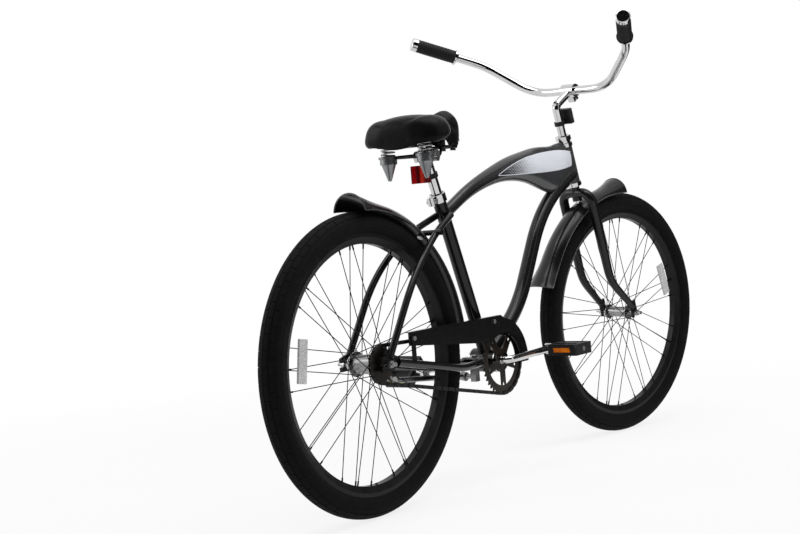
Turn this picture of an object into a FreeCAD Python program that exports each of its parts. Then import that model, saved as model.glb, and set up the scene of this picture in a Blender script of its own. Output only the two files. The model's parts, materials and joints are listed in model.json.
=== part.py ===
import FreeCAD, Part
import math
import os
import re
import Sketcher
from FreeCAD import Placement, Rotation, Vector

# Beach cruiser bicycle. X points forward, Y to the rider's left, Z up.
# The origin is where the rear tyre meets the ground. Lengths in millimetres, angles in degrees.
SIZES = {
    # Whole bicycle
    "wheel_base": 1126,
    "head_tilt": 17.5,
    "seat_tilt": 21,
    "steer_turn": -8.1,
    "fork_rake": 65,
    "bb_height": 283,
    "cut_overrun": 12,
    "running_gap": 0.05,
    "rest_gap": 0.3,
    # Tyres, tubes and rims
    "tyre_outer_radius": 333.5,
    "tyre_section_radius": 27,
    "tyre_wall": 3.5,
    "tube_wall": 1.5,
    "valve_radius": 3.2,
    "valve_bore": 1.4,
    "valve_length": 46,
    "rim_half_width": 16,
    "rim_flange_height": 6.5,
    "rim_flange_wall": 2,
    "rim_shelf_half": 9,
    "rim_well_depth": 14.5,
    "rim_well_half": 6,
    "rim_skin": 2.5,
    # Spokes and spoke reflectors
    "spoke_radius": 1,
    "nipple_radius": 1.9,
    "nipple_length": 12,
    "spoke_inset": 3.5,
    "reflector_length": 92,
    "reflector_height": 27,
    "reflector_thickness": 6,
    "front_reflector_orbit": 210,
    "rear_reflector_orbit": 229,
    "front_reflector_offset": 13.6,
    "rear_reflector_offset": 11.4,
    # Front hub and axle
    "front_spacing_half": 50,
    "front_hub_half": 37,
    "front_shell_radius": 14,
    "front_flange_radius": 20,
    "front_flange_at": 31,
    "front_bore": 11,
    "front_cone_radius": 7.5,
    "front_cone_inner": 27,
    "front_axle_half": 75,
    # Rear coaster hub and axle
    "rear_spacing_half": 55,
    "rear_hub_half": 34,
    "rear_shell_radius": 21.5,
    "rear_flange_radius": 28,
    "rear_flange_at": 28,
    "rear_bore": 13,
    "rear_cone_radius": 9,
    "rear_cone_inner": 24,
    "rear_axle_half": 80,
    "flange_thickness": 3,
    "flange_collar": 2.5,
    "hub_bearing_width": 7,
    "axle_radius": 4.75,
    "axle_nut_height": 10,
    "axle_nut_flats": 15,
    "brake_cap_radius": 19,
    "brake_cap_width": 8,
    "brake_spacer_radius": 10,
    "brake_arm_thickness": 3,
    "brake_arm_reach": 132,
    "brake_arm_drop": 48,
    "brake_arm_half": 8,
    "strap_width": 14,
    "strap_wall": 1.6,
    "strap_tab_half": 7,
    # Frame tubes
    "head_tube_radius": 18.3,
    "head_tube_wall": 2.2,
    "head_tube_length": 101,
    "fork_length": 397,
    "seat_tube_radius": 15.9,
    "seat_tube_length": 441,
    "seat_post_radius": 12.7,
    "bb_shell_radius": 29,
    "bb_shell_wall": 3.4,
    "bb_shell_half": 34,
    "tank_half_height": 64.4,
    "tank_half_width": 25,
    "tank_rise": 46,
    "tank_wall": 2,
    "tank_seat_joint": 388,
    "tank_head_joint": 464,
    "down_tube_radius": 18.3,
    "down_tube_wall": 2,
    "down_tube_head_joint": 433,
    "down_tube_upper_bend": 350,
    "down_tube_lower_bend": 300,
    "chain_stay_radius": 9,
    "chain_stay_wall": 1.5,
    "chain_stay_root": 9,
    "chain_stay_knee": 40,
    "chain_stay_knee_back": 160,
    "chain_stay_knee_rise": 1,
    "chain_stay_bend": 300,
    "chain_stay_end": 34,
    "seat_stay_radius": 8,
    "seat_stay_wall": 1.5,
    "seat_stay_joint": 385,
    "seat_stay_root": 21,
    "seat_stay_knee": 57,
    "seat_stay_bend": 440,
    "stay_bridge_radius": 6.5,
    "dropout_thickness": 5,
    "dropout_half": 15,
    "dropout_front": 42,
    "dropout_back": 22,
    "dropout_rise": 22,
    # Seat clamp
    "seat_clamp_wall": 3.6,
    "seat_clamp_height": 20,
    "clamp_ear_length": 13,
    "clamp_ear_half": 9,
    "clamp_slot": 3,
    "small_bolt_radius": 3,
    "small_head_radius": 5.5,
    "small_head_height": 4,
    # Headset and steerer
    "steerer_radius": 12.7,
    "steerer_wall": 1.6,
    "cup_radius": 21,
    "cup_height": 12,
    "cup_race_radius": 18,
    "cup_bore": 13.6,
    "cup_web": 2,
    "race_radius": 17.6,
    "race_height": 4,
    "locknut_flats": 36,
    "locknut_height": 13,
    "washer_height": 4,
    # Fork
    "blade_radius": 13,
    "blade_tip_radius": 8.5,
    "blade_spread": 48,
    "crown_drop": 20,
    "crown_bend": 30,
    "blade_taper_from": 230,
    "blade_bend_at": 120,
    "blade_end_up": 16,
    "fork_end_thickness": 5,
    "fork_end_half": 12,
    "fork_end_top": 34,
    # Stem and handlebar
    "quill_radius": 11.05,
    "quill_bore": 4.2,
    "quill_foot": 440,
    "stem_bend_at": 622,
    "stem_reach": 72.3,
    "stem_rise": 20,
    "stem_bend": 16,
    "stem_clamp_radius": 18,
    "stem_clamp_half": 20,
    "stem_clamp_slot": 3,
    "stem_ear_length": 12,
    "stem_ear_half": 10,
    "stem_bolt_radius": 3.9,
    "stem_bolt_flats": 12,
    "stem_bolt_head": 8,
    "stem_bolt_well": 7.6,
    "wedge_height": 24,
    "bar_radius": 11.1,
    "bar_wall": 1.8,
    "bar_straight_half": 124,
    "bar_riser_back": 70,
    "bar_riser_out": 238,
    "bar_riser_up": 84,
    "bar_end_back": 232,
    "bar_end_out": 348,
    "bar_end_up": 148,
    "bar_inner_bend": 140,
    "bar_outer_bend": 147,
    "grip_radius": 17.5,
    "grip_length": 108,
    "ferrule_length": 10,
    "ferrule_radius": 21,
    "end_cap_length": 16,
    "end_cap_radius": 18,
    # Front reflector
    "front_reflector_at": 574,
    "front_reflector_out": 31,
    "front_reflector_lift": 12,
    "front_reflector_half": 25,
    "front_reflector_half_height": 20,
    "reflector_depth": 13,
    "lens_depth": 4,
    "clamp_band_wall": 3,
    "clamp_band_width": 11,
    "reflector_arm_half": 5,
    # Fenders
    "fender_gap": 20,
    "fender_half_width": 33,
    "fender_depth": 19,
    "fender_wall": 1.2,
    "fender_flare_lift": 20,
    "fender_flare_spread": 12,
    "front_fender_tail_lift": 20,
    "front_fender_tail_spread": 10,
    "rear_fender_from": 2,
    "rear_fender_to": 93,
    "front_fender_from": 164,
    "front_fender_to": 91,
    "fender_bolt_radius": 4,
    "fender_bolt_head": 7,
    # Crank set and pedals
    "chain_pitch": 12.7,
    "chainring_teeth": 40,
    "sprocket_teeth": 20,
    "chain_links": 104,
    "chain_line": 42,
    "crank_angle": 2,
    "crank_length": 175,
    "crank_radius": 9,
    "spindle_radius": 11.5,
    "crank_bend": 20,
    "crank_right_knee": 62,
    "crank_left_knee": 58,
    "crank_flare": 10,
    "crank_eye_radius": 13.5,
    "crank_eye_half": 9.5,
    "bb_cup_depth": 11,
    "bb_cup_lip": 3,
    "bb_cup_race": 21,
    "crank_cone_radius": 17,
    "crank_cone_width": 8,
    "tooth_tip": 2.6,
    "tooth_tip_half": 0.6,
    "roller_radius": 3.9,
    "roller_seat_gap": 0.12,
    "chainring_thickness": 2.6,
    "chainring_hub": 27,
    "chainring_rim": 61,
    "roller_half": 1.65,
    "link_plate": 1,
    "link_half_height": 4.1,
    "driver_radius": 17,
    "driver_outer": 47.5,
    "pedal_spindle_radius": 6,
    "pedal_start": 14,
    "pedal_width": 82,
    "pedal_length": 78,
    "pedal_height": 28,
    "pedal_barrel": 11,
    "pedal_wall": 9,
    "pedal_end_wall": 7,
    "pedal_reflector_length": 46,
    "pedal_reflector_height": 11,
    "pedal_reflector_depth": 3,
    "left_pedal_pitch": 38,
    # Chain guard
    "guard_offset": 52,
    "guard_thickness": 1.5,
    "guard_centre_back": 7,
    "guard_centre_drop": 8,
    "guard_top": 118,
    "guard_outer": 110,
    "guard_inner": 73,
    "guard_back": 372,
    "guard_back_depth": 30,
    "guard_front_depth": 62,
    "guard_tip_depth": 6,
    "guard_flange": 9,
    "guard_tab_half": 7,
    "guard_tab_thickness": 2.5,
    "guard_tab_inset": 14,
    "guard_post_radius": 4.5,
    "guard_post_drop": 13,
    # Kickstand
    "stand_back": 57,
    "stand_plate_half": 26,
    "stand_plate_length": 24,
    "stand_plate_height": 4,
    "stand_block_height": 36,
    "stand_block_half": 23,
    "stand_neck_half": 8,
    "stand_cross_radius": 6,
    "stand_bolt_radius": 5,
    "stand_leg_radius": 6.5,
    "stand_leg_length": 246,
    "stand_boss_radius": 11,
    "stand_boss_half": 7,
    "stand_pivot_drop": 24,
    # Seat post, saddle clamp and rear reflector
    "seat_post_foot": 295,
    "seat_post_top": 522,
    "saddle_clamp_radius": 14,
    "saddle_clamp_half": 29,
    "saddle_clamp_bolt": 4,
    "saddle_bolt_drop": 8.5,
    "rear_reflector_at": 487,
    "rear_reflector_back": 46,
    "rear_reflector_lift": 3,
    "rear_reflector_half": 24,
    "rear_reflector_half_height": 20,
    # Saddle
    "saddle_length": 238,
    "saddle_back": 124,
    "saddle_half_width": 111,
    "saddle_under": 824,
    "saddle_skirt": 20,
    "saddle_crown": 55,
    "saddle_nose_lift": 14,
    "pan_thickness": 3.5,
    "rail_radius": 3.5,
    "rail_half": 20,
    "rail_level": 783,
    "rail_front_level": 803,
    "rail_step_back": 79,
    "rail_bend": 9,
    "spring_back": 77,
    "spring_side": 53,
    "spring_radius": 15.5,
    "spring_wire": 2,
    "spring_turns": 4,
    "spring_foot": 786,
    "cup_lip_radius": 23,
    "cup_lip_height": 5,
    "cup_barrel_radius": 20,
    "cup_barrel_height": 13,
    "cone_top_radius": 17,
    "cone_tip_radius": 4,
    "cone_height": 38,
    "nose_pin_back": 26,
    "nose_pin_radius": 4,
    "nose_pin_half": 24,
    "nose_lug_half": 9,
}

# Shares of the sizes that they follow, chosen by hand
TANK_STATION_SHARES = (0, 0.05, 0.16, 0.33, 0.42, 0.53, 0.64, 0.73, 0.81, 0.88, 1)
TANK_RISE_SHARES = (0, 0.14, 0.53, 0.9, 0.98, 0.94, 0.7, 0.36, 0.08, 0.06, 0)
TANK_HEIGHT_SHARES = (0.235, 0.235, 0.245, 0.305, 0.37, 0.5, 0.68, 0.9, 1, 0.92, 0.73)
TANK_WIDTH_SHARES = (0.58, 0.58, 0.6, 0.7, 0.79, 0.9, 0.96, 1, 1, 0.94, 0.7)
DOWN_TUBE_SHARES = ((0.643, 0.812), (0.348, 0.279))
SEAT_STAY_KNEE_SHARES = (0.47, 0.77)
FENDER_STATION_SHARES = (0, 0.05, 0.1, 0.15, 0.2, 0.3, 0.4, 0.5, 0.6, 0.7, 0.8, 0.84, 0.88, 0.92, 0.96, 1)
FENDER_TAIL_SHARES = (1, 0.6, 0.3, 0.1, 0.02, 0, 0, 0, 0, 0, 0, 0, 0, 0, 0, 0)
FENDER_LIP_SHARES = (0, 0, 0, 0, 0, 0, 0, 0, 0, 0, 0, 0.02, 0.12, 0.34, 0.66, 1)
WINDOW_OUTER_SHARE = 0.37
WINDOW_INNER_SHARE = 0.2
WINDOW_DIMPLE_SHARE = 0.07
SADDLE_STATION_SHARES = (0, 0.03, 0.1, 0.22, 0.36, 0.5, 0.62, 0.76, 0.88, 0.96, 1)
SADDLE_WIDTH_SHARES = (0.42, 0.7, 0.92, 1, 0.92, 0.66, 0.43, 0.33, 0.3, 0.25, 0.15)
SADDLE_TOP_SHARES = (0.5, 0.74, 0.92, 1, 0.98, 0.92, 0.9, 0.96, 1, 0.86, 0.58)
SADDLE_NOSE_SHARES = (0, 0, 0, 0, 0, 0, 0.25, 0.75, 1, 0.7, 0.2)
SADDLE_SKIRT_SHARES = (0.4, 0.8, 1, 0.8, 0.3, 0.2, 0.4, 0.7, 0.8, 0.7, 0.4)
CUSHION_RIM_SHARE = 0.8
CUSHION_WELL_SHARE = 0.74
PAN_SHARE = 0.7
CROWN_SHARE = 0.5
SHOULDER_SHARE = 0.42
STAND_FOLDED_SHARES = (-0.99, 0.07, 0.1)
STAND_DOWN_SHARES = (-0.25, 0.15, -0.957)

UP = Vector(0, 0, 1)
LEFT = Vector(0, 1, 0)
AHEAD = Vector(1, 0, 0)

doc = FreeCAD.newDocument("beach_cruiser")
size = doc.addObject("Spreadsheet::Sheet", "size")
for row, (alias, value) in enumerate(SIZES.items(), start=1):
    size.set(f"A{row}", alias)
    size.set(f"B{row}", str(value))
    size.setAlias(f"B{row}", alias)
doc.recompute()

# The named parts of the bicycle, each with the place where it is set
nodes = {}


def number(text):
    return float(size.evalExpression(text))


def linked(text):
    return re.sub(r"[a-z][a-z_0-9]*", lambda word: f"size.{word[0]}", text)


def radians(alias):
    return math.radians(number(alias))


def keep(label, thing, place=Placement()):
    thing.Label = label
    nodes[label] = (thing, place)
    return thing


def turned(name, profile):
    """A body turned about its own Y axis from (radius, along) expressions."""
    body = doc.addObject("PartDesign::Body", name)
    sketch = body.newObject("Sketcher::SketchObject", name + "_profile")
    plane = [item for item in body.Origin.OriginFeatures if item.Role == "XY_Plane"][0]
    sketch.AttachmentSupport = [(plane, "")]
    sketch.MapMode = "FlatFace"
    points = [Vector(number(radius), number(along), 0) for radius, along in profile]
    count = len(points)
    for index in range(count):
        sketch.addGeometry(Part.LineSegment(points[index], points[(index + 1) % count]))
    for index in range(count):
        sketch.addConstraint(Sketcher.Constraint("Coincident", index, 2, (index + 1) % count, 1))
    for index, (radius, along) in enumerate(profile):
        for kind, axis, text in (("DistanceX", -2, radius), ("DistanceY", -1, along)):
            if text == "0":
                sketch.addConstraint(Sketcher.Constraint("PointOnObject", index, 1, axis))
                continue
            rule = Sketcher.Constraint(kind, -1, 1, index, 1, number(text))
            sketch.setExpression(f"Constraints[{sketch.addConstraint(rule)}]", linked(text))
    turn = body.newObject("PartDesign::Revolution", name + "_turn")
    turn.Profile = sketch
    turn.ReferenceAxis = (sketch, ["V_Axis"])
    turn.Angle = 360
    return body


def padded(name, edges, thickness):
    """A body padded along its own Z from outline edges in its XY plane."""
    body = doc.addObject("PartDesign::Body", name)
    sketch = body.newObject("Sketcher::SketchObject", name + "_outline")
    plane = [item for item in body.Origin.OriginFeatures if item.Role == "XY_Plane"][0]
    sketch.AttachmentSupport = [(plane, "")]
    sketch.MapMode = "FlatFace"
    for edge in edges:
        sketch.addGeometry(edge)
    pad = body.newObject("PartDesign::Pad", name + "_pad")
    pad.Profile = sketch
    pad.setExpression("Length", linked(thickness))
    pad.Midplane = True
    return body


def cylinder(name, radius, height, place=Placement()):
    thing = doc.addObject("Part::Cylinder", name)
    thing.setExpression("Radius", linked(radius))
    thing.setExpression("Height", linked(height))
    thing.Placement = place
    return thing


def difference(name, base, tool):
    thing = doc.addObject("Part::Cut", name)
    thing.Base = base
    thing.Tool = tool
    return thing


def group(name, things):
    thing = doc.addObject("Part::Compound", name)
    thing.Links = things
    return thing


def shaped(name, shape):
    thing = doc.addObject("Part::Feature", name)
    thing.Shape = shape
    return thing


def along_y(base, direction):
    return Placement(base, Rotation(LEFT, direction))


def along_z(base, direction):
    return Placement(base, Rotation(UP, direction))


def rod(start, end, radius):
    return Part.makeCylinder(radius, (end - start).Length, start, end - start)


def ring(start, end, outer, inner):
    return rod(start, end, outer).cut(rod(start, end, inner))


def slab(low, high):
    corner = Vector(min(low.x, high.x), min(low.y, high.y), min(low.z, high.z))
    span = high - low
    return Part.makeBox(abs(span.x), abs(span.y), abs(span.z), corner)


def biggest(shape):
    return max(shape.Solids, key=lambda solid: solid.Volume)


def hexagon(start, end, flats, bore=0):
    """A six-sided nut or bolt head between two points."""
    along = end - start
    spin = Rotation(UP, along)
    corner = flats / math.sqrt(3)
    ring_points = [start + spin.multVec(Vector(corner * math.cos(k * math.pi / 3),
                                               corner * math.sin(k * math.pi / 3), 0)) for k in range(7)]
    nut = Part.Face(Part.makePolygon(ring_points)).extrude(along)
    return nut.cut(rod(start, end, bore)) if bore else nut


def bent_path(points, bends):
    """Straight runs joined by tangent arcs, one bend radius for each inner point."""
    edges = []
    last = points[0]
    for before, corner, after, bend in zip(points, points[1:], points[2:], bends):
        back = (before - corner).normalize()
        onward = (after - corner).normalize()
        half = back.getAngle(onward) / 2
        start = corner + back * (bend / math.tan(half))
        end = corner + onward * (bend / math.tan(half))
        middle = corner + (back + onward).normalize() * (bend / math.sin(half) - bend)
        edges.append(Part.LineSegment(last, start).toShape())
        edges.append(Part.Arc(start, middle, end).toShape())
        last = end
    edges.append(Part.LineSegment(last, points[-1]).toShape())
    return Part.Wire(edges)


def bent_rod(points, bends, radius):
    profile = Part.Wire(Part.makeCircle(radius, points[0], points[1] - points[0]))
    return bent_path(points, bends).makePipeShell([profile], True, False)


def bent_tube(points, bends, radius, wall):
    return bent_rod(points, bends, radius).cut(bent_rod(points, bends, radius - wall))


def mirrored(shape):
    return shape.mirror(Vector(0, 0, 0), LEFT)


def both_sides(shape):
    return Part.makeCompound([shape, mirrored(shape)])


# Main places, worked out from the driving sizes
rear_axle_at = Vector(0, 0, size.tyre_outer_radius)
front_axle_at = Vector(size.wheel_base, 0, size.tyre_outer_radius)
head_up = Vector(-math.sin(radians("head_tilt")), 0, math.cos(radians("head_tilt")))
head_out = Vector(math.cos(radians("head_tilt")), 0, math.sin(radians("head_tilt")))
head_foot = front_axle_at - head_out * size.fork_rake
seat_up = Vector(-math.sin(radians("seat_tilt")), 0, math.cos(radians("seat_tilt")))
seat_out = Vector(math.cos(radians("seat_tilt")), 0, math.sin(radians("seat_tilt")))
steered = Placement(Vector(), Rotation(head_up, size.steer_turn), head_foot)


def pitch_radius(teeth):
    return size.chain_pitch / (2 * math.sin(math.pi / teeth))


ring_pitch_radius = pitch_radius(size.chainring_teeth)
sprocket_pitch_radius = pitch_radius(size.sprocket_teeth)


def chain_centres():
    """Distance between the two chain wheels that takes a whole number of links."""
    distance = size.chain_links * size.chain_pitch / 4
    for _ in range(60):
        slant = math.asin((ring_pitch_radius - sprocket_pitch_radius) / distance)
        wrapped = (size.chainring_teeth + size.sprocket_teeth) / 2
        wrapped += (size.chainring_teeth - size.sprocket_teeth) * slant / math.pi
        run = (size.chain_links - wrapped) * size.chain_pitch / 2
        distance = math.hypot(run, ring_pitch_radius - sprocket_pitch_radius)
    return distance


bb_drop = size.tyre_outer_radius - size.bb_height
bb_at = Vector(math.sqrt(chain_centres() ** 2 - bb_drop ** 2), 0, size.bb_height)


def head_point(up, out=0, side=0):
    return head_foot + head_up * up + head_out * out + LEFT * side


def seat_point(up, out=0, side=0):
    return bb_at + seat_up * up + seat_out * out + LEFT * side


head_low = size.fork_length + size.cup_height
head_high = head_low + size.head_tube_length
shell_core = rod(bb_at - LEFT * size.bb_shell_half, bb_at + LEFT * size.bb_shell_half, size.bb_shell_radius)
head_core = rod(head_point(head_low), head_point(head_high), size.head_tube_radius)
seat_core = rod(bb_at, seat_point(size.seat_tube_length), size.seat_tube_radius)


def make_head_tube():
    bore = "head_tube_radius - head_tube_wall"
    profile = [(bore, "0"), ("head_tube_radius", "0"), ("head_tube_radius", "head_tube_length"),
               (bore, "head_tube_length")]
    keep("head_tube", turned("head_tube", profile), along_y(head_point(head_low), head_up))


def make_bottom_bracket_shell():
    bore = "bb_shell_radius - bb_shell_wall"
    profile = [(bore, "-bb_shell_half"), ("bb_shell_radius", "-bb_shell_half"),
               ("bb_shell_radius", "bb_shell_half"), (bore, "bb_shell_half")]
    keep("bottom_bracket_shell", turned("bottom_bracket_shell", profile), Placement(bb_at, Rotation()))


def make_seat_tube():
    bore = "seat_post_radius + running_gap"
    profile = [(bore, "0"), ("seat_tube_radius", "0"), ("seat_tube_radius", "seat_tube_length"),
               (bore, "seat_tube_length")]
    pipe = turned("seat_tube_pipe", profile)
    pipe.Placement = along_y(bb_at, seat_up)
    foot = cylinder("seat_tube_cope", "bb_shell_radius", "2 * bb_shell_half",
                    along_z(bb_at - LEFT * size.bb_shell_half, LEFT))
    keep("seat_tube", difference("seat_tube", pipe, foot))


def tank_loft(wall):
    start = seat_point(size.tank_seat_joint)
    end = head_point(size.tank_head_joint)
    sections = []
    for station, rise, height, width in zip(TANK_STATION_SHARES, TANK_RISE_SHARES,
                                            TANK_HEIGHT_SHARES, TANK_WIDTH_SHARES):
        up = (seat_up * (1 - station) + head_up * station).normalize()
        centre = start + (end - start) * station + up * (size.tank_rise * rise)
        top = centre + up * (size.tank_half_height * height - wall)
        side = centre + LEFT * (size.tank_half_width * width - wall)
        sections.append(Part.Wire(Part.Ellipse(top, side, centre).toShape()))
    return Part.makeLoft(sections, True, False)


tank_core = tank_loft(0)


def make_top_tube():
    cup_space = size.cup_radius + size.rest_gap
    headset_core = rod(head_point(head_high), head_point(size.front_reflector_at), cup_space)
    tube = tank_core.cut(tank_loft(size.tank_wall)).cut(head_core).cut(seat_core).cut(headset_core)
    keep("top_tube", shaped("top_tube", biggest(tube)))


def make_down_tube():
    top = head_point(size.down_tube_head_joint)
    reach = top - bb_at
    knees = [bb_at + Vector(reach.x * along, 0, reach.z * rise) for along, rise in DOWN_TUBE_SHARES]
    bends = [size.down_tube_upper_bend, size.down_tube_lower_bend]
    tube = bent_tube([top] + knees + [bb_at], bends, size.down_tube_radius, size.down_tube_wall)
    keep("down_tube", shaped("down_tube", biggest(tube.cut(tank_core).cut(head_core).cut(shell_core))))


dropout_middle = size.rear_spacing_half + size.dropout_thickness / 2


def dropout_edges():
    """Plate round the axle slot, which opens to the rear."""
    slot = size.axle_radius + size.running_gap
    outline = [Vector(-size.dropout_back, slot), Vector(-size.dropout_back, size.dropout_half),
               Vector(0, size.dropout_rise), Vector(size.dropout_half, size.dropout_rise),
               Vector(size.dropout_front, size.chain_stay_radius),
               Vector(size.dropout_front, -size.chain_stay_radius), Vector(0, -size.dropout_half),
               Vector(-size.dropout_back, -size.dropout_half), Vector(-size.dropout_back, -slot),
               Vector(0, -slot)]
    edges = [Part.LineSegment(start, end) for start, end in zip(outline, outline[1:])]
    edges.append(Part.Arc(Vector(0, -slot), Vector(slot, 0), Vector(0, slot)))
    edges.append(Part.LineSegment(Vector(0, slot), outline[0]))
    return edges


def dropout_place(side):
    return Placement(rear_axle_at + LEFT * (dropout_middle * side), Rotation(AHEAD, 90))


def make_dropouts():
    plates = []
    for name, side in (("left_dropout", 1), ("right_dropout", -1)):
        plate = padded(name, dropout_edges(), "dropout_thickness")
        plate.Placement = dropout_place(side)
        plates.append(plate)
    keep("dropouts", group("dropouts", plates))
    doc.recompute()
    return Part.makeCompound([plate.Shape for plate in plates])


def chain_stay_points():
    root = bb_at + LEFT * size.chain_stay_root
    knee = bb_at + Vector(-size.chain_stay_knee_back, size.chain_stay_knee, size.chain_stay_knee_rise)
    end = rear_axle_at + Vector(size.chain_stay_end, dropout_middle, 0)
    return [root, knee, end]


def seat_stay_points():
    top = seat_point(size.seat_stay_joint, 0, size.seat_stay_root)
    end = rear_axle_at + Vector(0, dropout_middle, 0)
    along, rise = SEAT_STAY_KNEE_SHARES
    knee = Vector(top.x * along, size.seat_stay_knee, end.z + (top.z - end.z) * rise)
    return [top, knee, end + (knee - end).normalize() * size.dropout_half]


def stay_point(points, height_from_axle):
    """Where a straight stay run stands at a given distance ahead of the rear axle."""
    knee, end = points[1], points[2]
    return end + (knee - end) * ((height_from_axle - end.x) / (knee.x - end.x))


def make_stays(dropouts):
    points = chain_stay_points()
    stay = bent_tube(points, [size.chain_stay_bend], size.chain_stay_radius, size.chain_stay_wall)
    left = biggest(stay.cut(shell_core).cut(dropouts))
    orbit = fender_crown_radius + size.stay_bridge_radius + size.rest_gap
    drop = rear_axle_at.z - points[1].z
    middle = Vector(math.sqrt(orbit ** 2 - drop ** 2), 0, points[1].z)
    reach = LEFT * size.chain_stay_knee
    bridge = rod(middle - reach, middle + reach, size.stay_bridge_radius)
    for side in (1, -1):
        bridge = bridge.cut(bent_rod([Vector(p.x, p.y * side, p.z) for p in points],
                                     [size.chain_stay_bend], size.chain_stay_radius))
    right = mirrored(left)
    keep("chain_stays", shaped("chain_stays", Part.makeCompound([left, right, biggest(bridge)])))

    points = seat_stay_points()
    stay = bent_tube(points, [size.seat_stay_bend], size.seat_stay_radius, size.seat_stay_wall)
    left = biggest(stay.cut(seat_core).cut(tank_core).cut(dropouts))
    right = mirrored(left)
    middle = fender_bridge_middle()
    reach = LEFT * size.seat_stay_knee
    bridge = rod(middle - reach, middle + reach, size.stay_bridge_radius)
    for side in (1, -1):
        bridge = bridge.cut(bent_rod([Vector(p.x, p.y * side, p.z) for p in points],
                                     [size.seat_stay_bend], size.seat_stay_radius))
    keep("seat_stays", shaped("seat_stays", Part.makeCompound([left, right, biggest(bridge)])))


def fender_bridge_middle():
    """Middle of the seat stay bridge, on the stays just outside the rear fender."""
    top, knee, _ = seat_stay_points()
    orbit = fender_crown_radius + size.stay_bridge_radius + size.rest_gap
    run = top - knee
    start = Vector(knee.x, 0, knee.z) - rear_axle_at
    flat_run = Vector(run.x, 0, run.z)
    a = flat_run.dot(flat_run)
    b = 2 * start.dot(flat_run)
    c = start.dot(start) - orbit ** 2
    share = (-b + math.sqrt(b ** 2 - 4 * a * c)) / (2 * a)
    return rear_axle_at + start + flat_run * share


fender_crown_radius = size.tyre_outer_radius + size.fender_gap


def fender_section(angle, lift, flare, spread):
    """Thin arch across the tyre, in the radial plane at an angle from straight ahead."""
    outward = Vector(math.cos(angle), 0, math.sin(angle))
    crown = fender_crown_radius + lift + flare
    edge = fender_crown_radius + lift - size.fender_depth
    outer = size.fender_half_width + spread
    inner = outer - size.fender_wall
    corners = [outward * edge - LEFT * outer, outward * crown, outward * edge + LEFT * outer]
    inside = [outward * edge + LEFT * inner, outward * (crown - size.fender_wall), outward * edge - LEFT * inner]
    return Part.Wire([Part.Arc(*corners).toShape(), Part.LineSegment(corners[2], inside[0]).toShape(),
                      Part.Arc(*inside).toShape(), Part.LineSegment(inside[2], corners[0]).toShape()])


def fender(first, last, tail_lift, tail_spread):
    """Fender round the axle at the origin, from its tail to its flared lip."""
    sections = []
    for station, tail, lip in zip(FENDER_STATION_SHARES, FENDER_TAIL_SHARES, FENDER_LIP_SHARES):
        sections.append(fender_section(first + (last - first) * station,
                                       tail_lift * tail, size.fender_flare_lift * lip,
                                       tail_spread * tail + size.fender_flare_spread * lip))
    return Part.makeLoft(sections, True, False)


def make_fenders():
    rear = fender(radians("rear_fender_from"), radians("rear_fender_to"), 0, 0)
    keep("rear_fender", shaped("rear_fender", rear), Placement(rear_axle_at, Rotation()))
    front = fender(radians("front_fender_from"), radians("front_fender_to"), size.front_fender_tail_lift,
                   size.front_fender_tail_spread)
    keep("front_fender", shaped("front_fender", front), steered * Placement(front_axle_at, Rotation()))


def make_headset():
    bore = "head_tube_radius - head_tube_wall"
    profile = [("cup_bore", "-cup_height"), (bore, "-cup_height"), (bore, "0"), ("cup_radius", "0"),
               ("cup_radius", "cup_height - race_height / 2"),
               ("cup_race_radius", "cup_height - race_height / 2"),
               ("cup_race_radius", "cup_web"), ("cup_bore", "cup_web")]
    bearing = [("cup_bore", "cup_web"), ("cup_race_radius", "cup_web"),
               ("cup_race_radius", "cup_height - race_height - running_gap"),
               ("cup_bore", "cup_height - race_height - running_gap")]
    race = [("steerer_radius", "cup_height - race_height"), ("race_radius", "cup_height - race_height"),
            ("race_radius", "cup_height"), ("steerer_radius", "cup_height")]
    cups, bearings, races = [], [], []
    for end, base, way in (("lower", head_point(head_low), -head_up), ("upper", head_point(head_high), head_up)):
        for kind, outline, pile in (("cup", profile, cups), ("bearing", bearing, bearings), ("race", race, races)):
            piece = turned(f"{end}_head_{kind}", outline)
            piece.Placement = along_y(base, way)
            pile.append(piece)
    top = head_high + size.cup_height
    washer = cylinder("headset_washer_disc", "race_radius", "washer_height", along_z(head_point(top), head_up))
    washer_bore = cylinder("headset_washer_bore", "steerer_radius", "washer_height",
                           along_z(head_point(top), head_up))
    races.append(difference("headset_washer", washer, washer_bore))
    nut_foot = top + size.washer_height
    nut = hexagon(head_point(nut_foot), head_point(nut_foot + size.locknut_height), size.locknut_flats,
                  size.steerer_radius)
    races.append(shaped("headset_locknut", nut))
    keep("headset_nuts", group("headset_nuts", races), steered)
    return cups, bearings


def make_bottom_bracket(cups, bearings):
    bore = "bb_shell_radius - bb_shell_wall"
    lip = "bb_shell_half + bb_cup_lip"
    floor = "bb_shell_half + bb_cup_lip - bb_cup_depth"
    cup = [("spindle_radius + cup_web", floor), (bore, floor), (bore, "bb_shell_half"),
           ("bb_shell_radius", "bb_shell_half"), ("bb_shell_radius", lip), ("bb_cup_race", lip),
           ("bb_cup_race", f"{floor} + cup_web"), ("spindle_radius + cup_web", f"{floor} + cup_web")]
    inner = "crank_cone_radius + running_gap"
    bearing = [(inner, f"{floor} + cup_web"), ("bb_cup_race", f"{floor} + cup_web"),
               ("bb_cup_race", lip), (inner, lip)]
    for name, way in (("left_bb", LEFT), ("right_bb", -LEFT)):
        for kind, outline, pile in (("cup", cup, cups), ("bearing", bearing, bearings)):
            piece = turned(f"{name}_{kind}", outline)
            piece.Placement = along_y(bb_at, way)
            pile.append(piece)
    keep("bearing_cups", group("bearing_cups", cups))
    keep("frame_bearings", group("frame_bearings", bearings))


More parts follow.
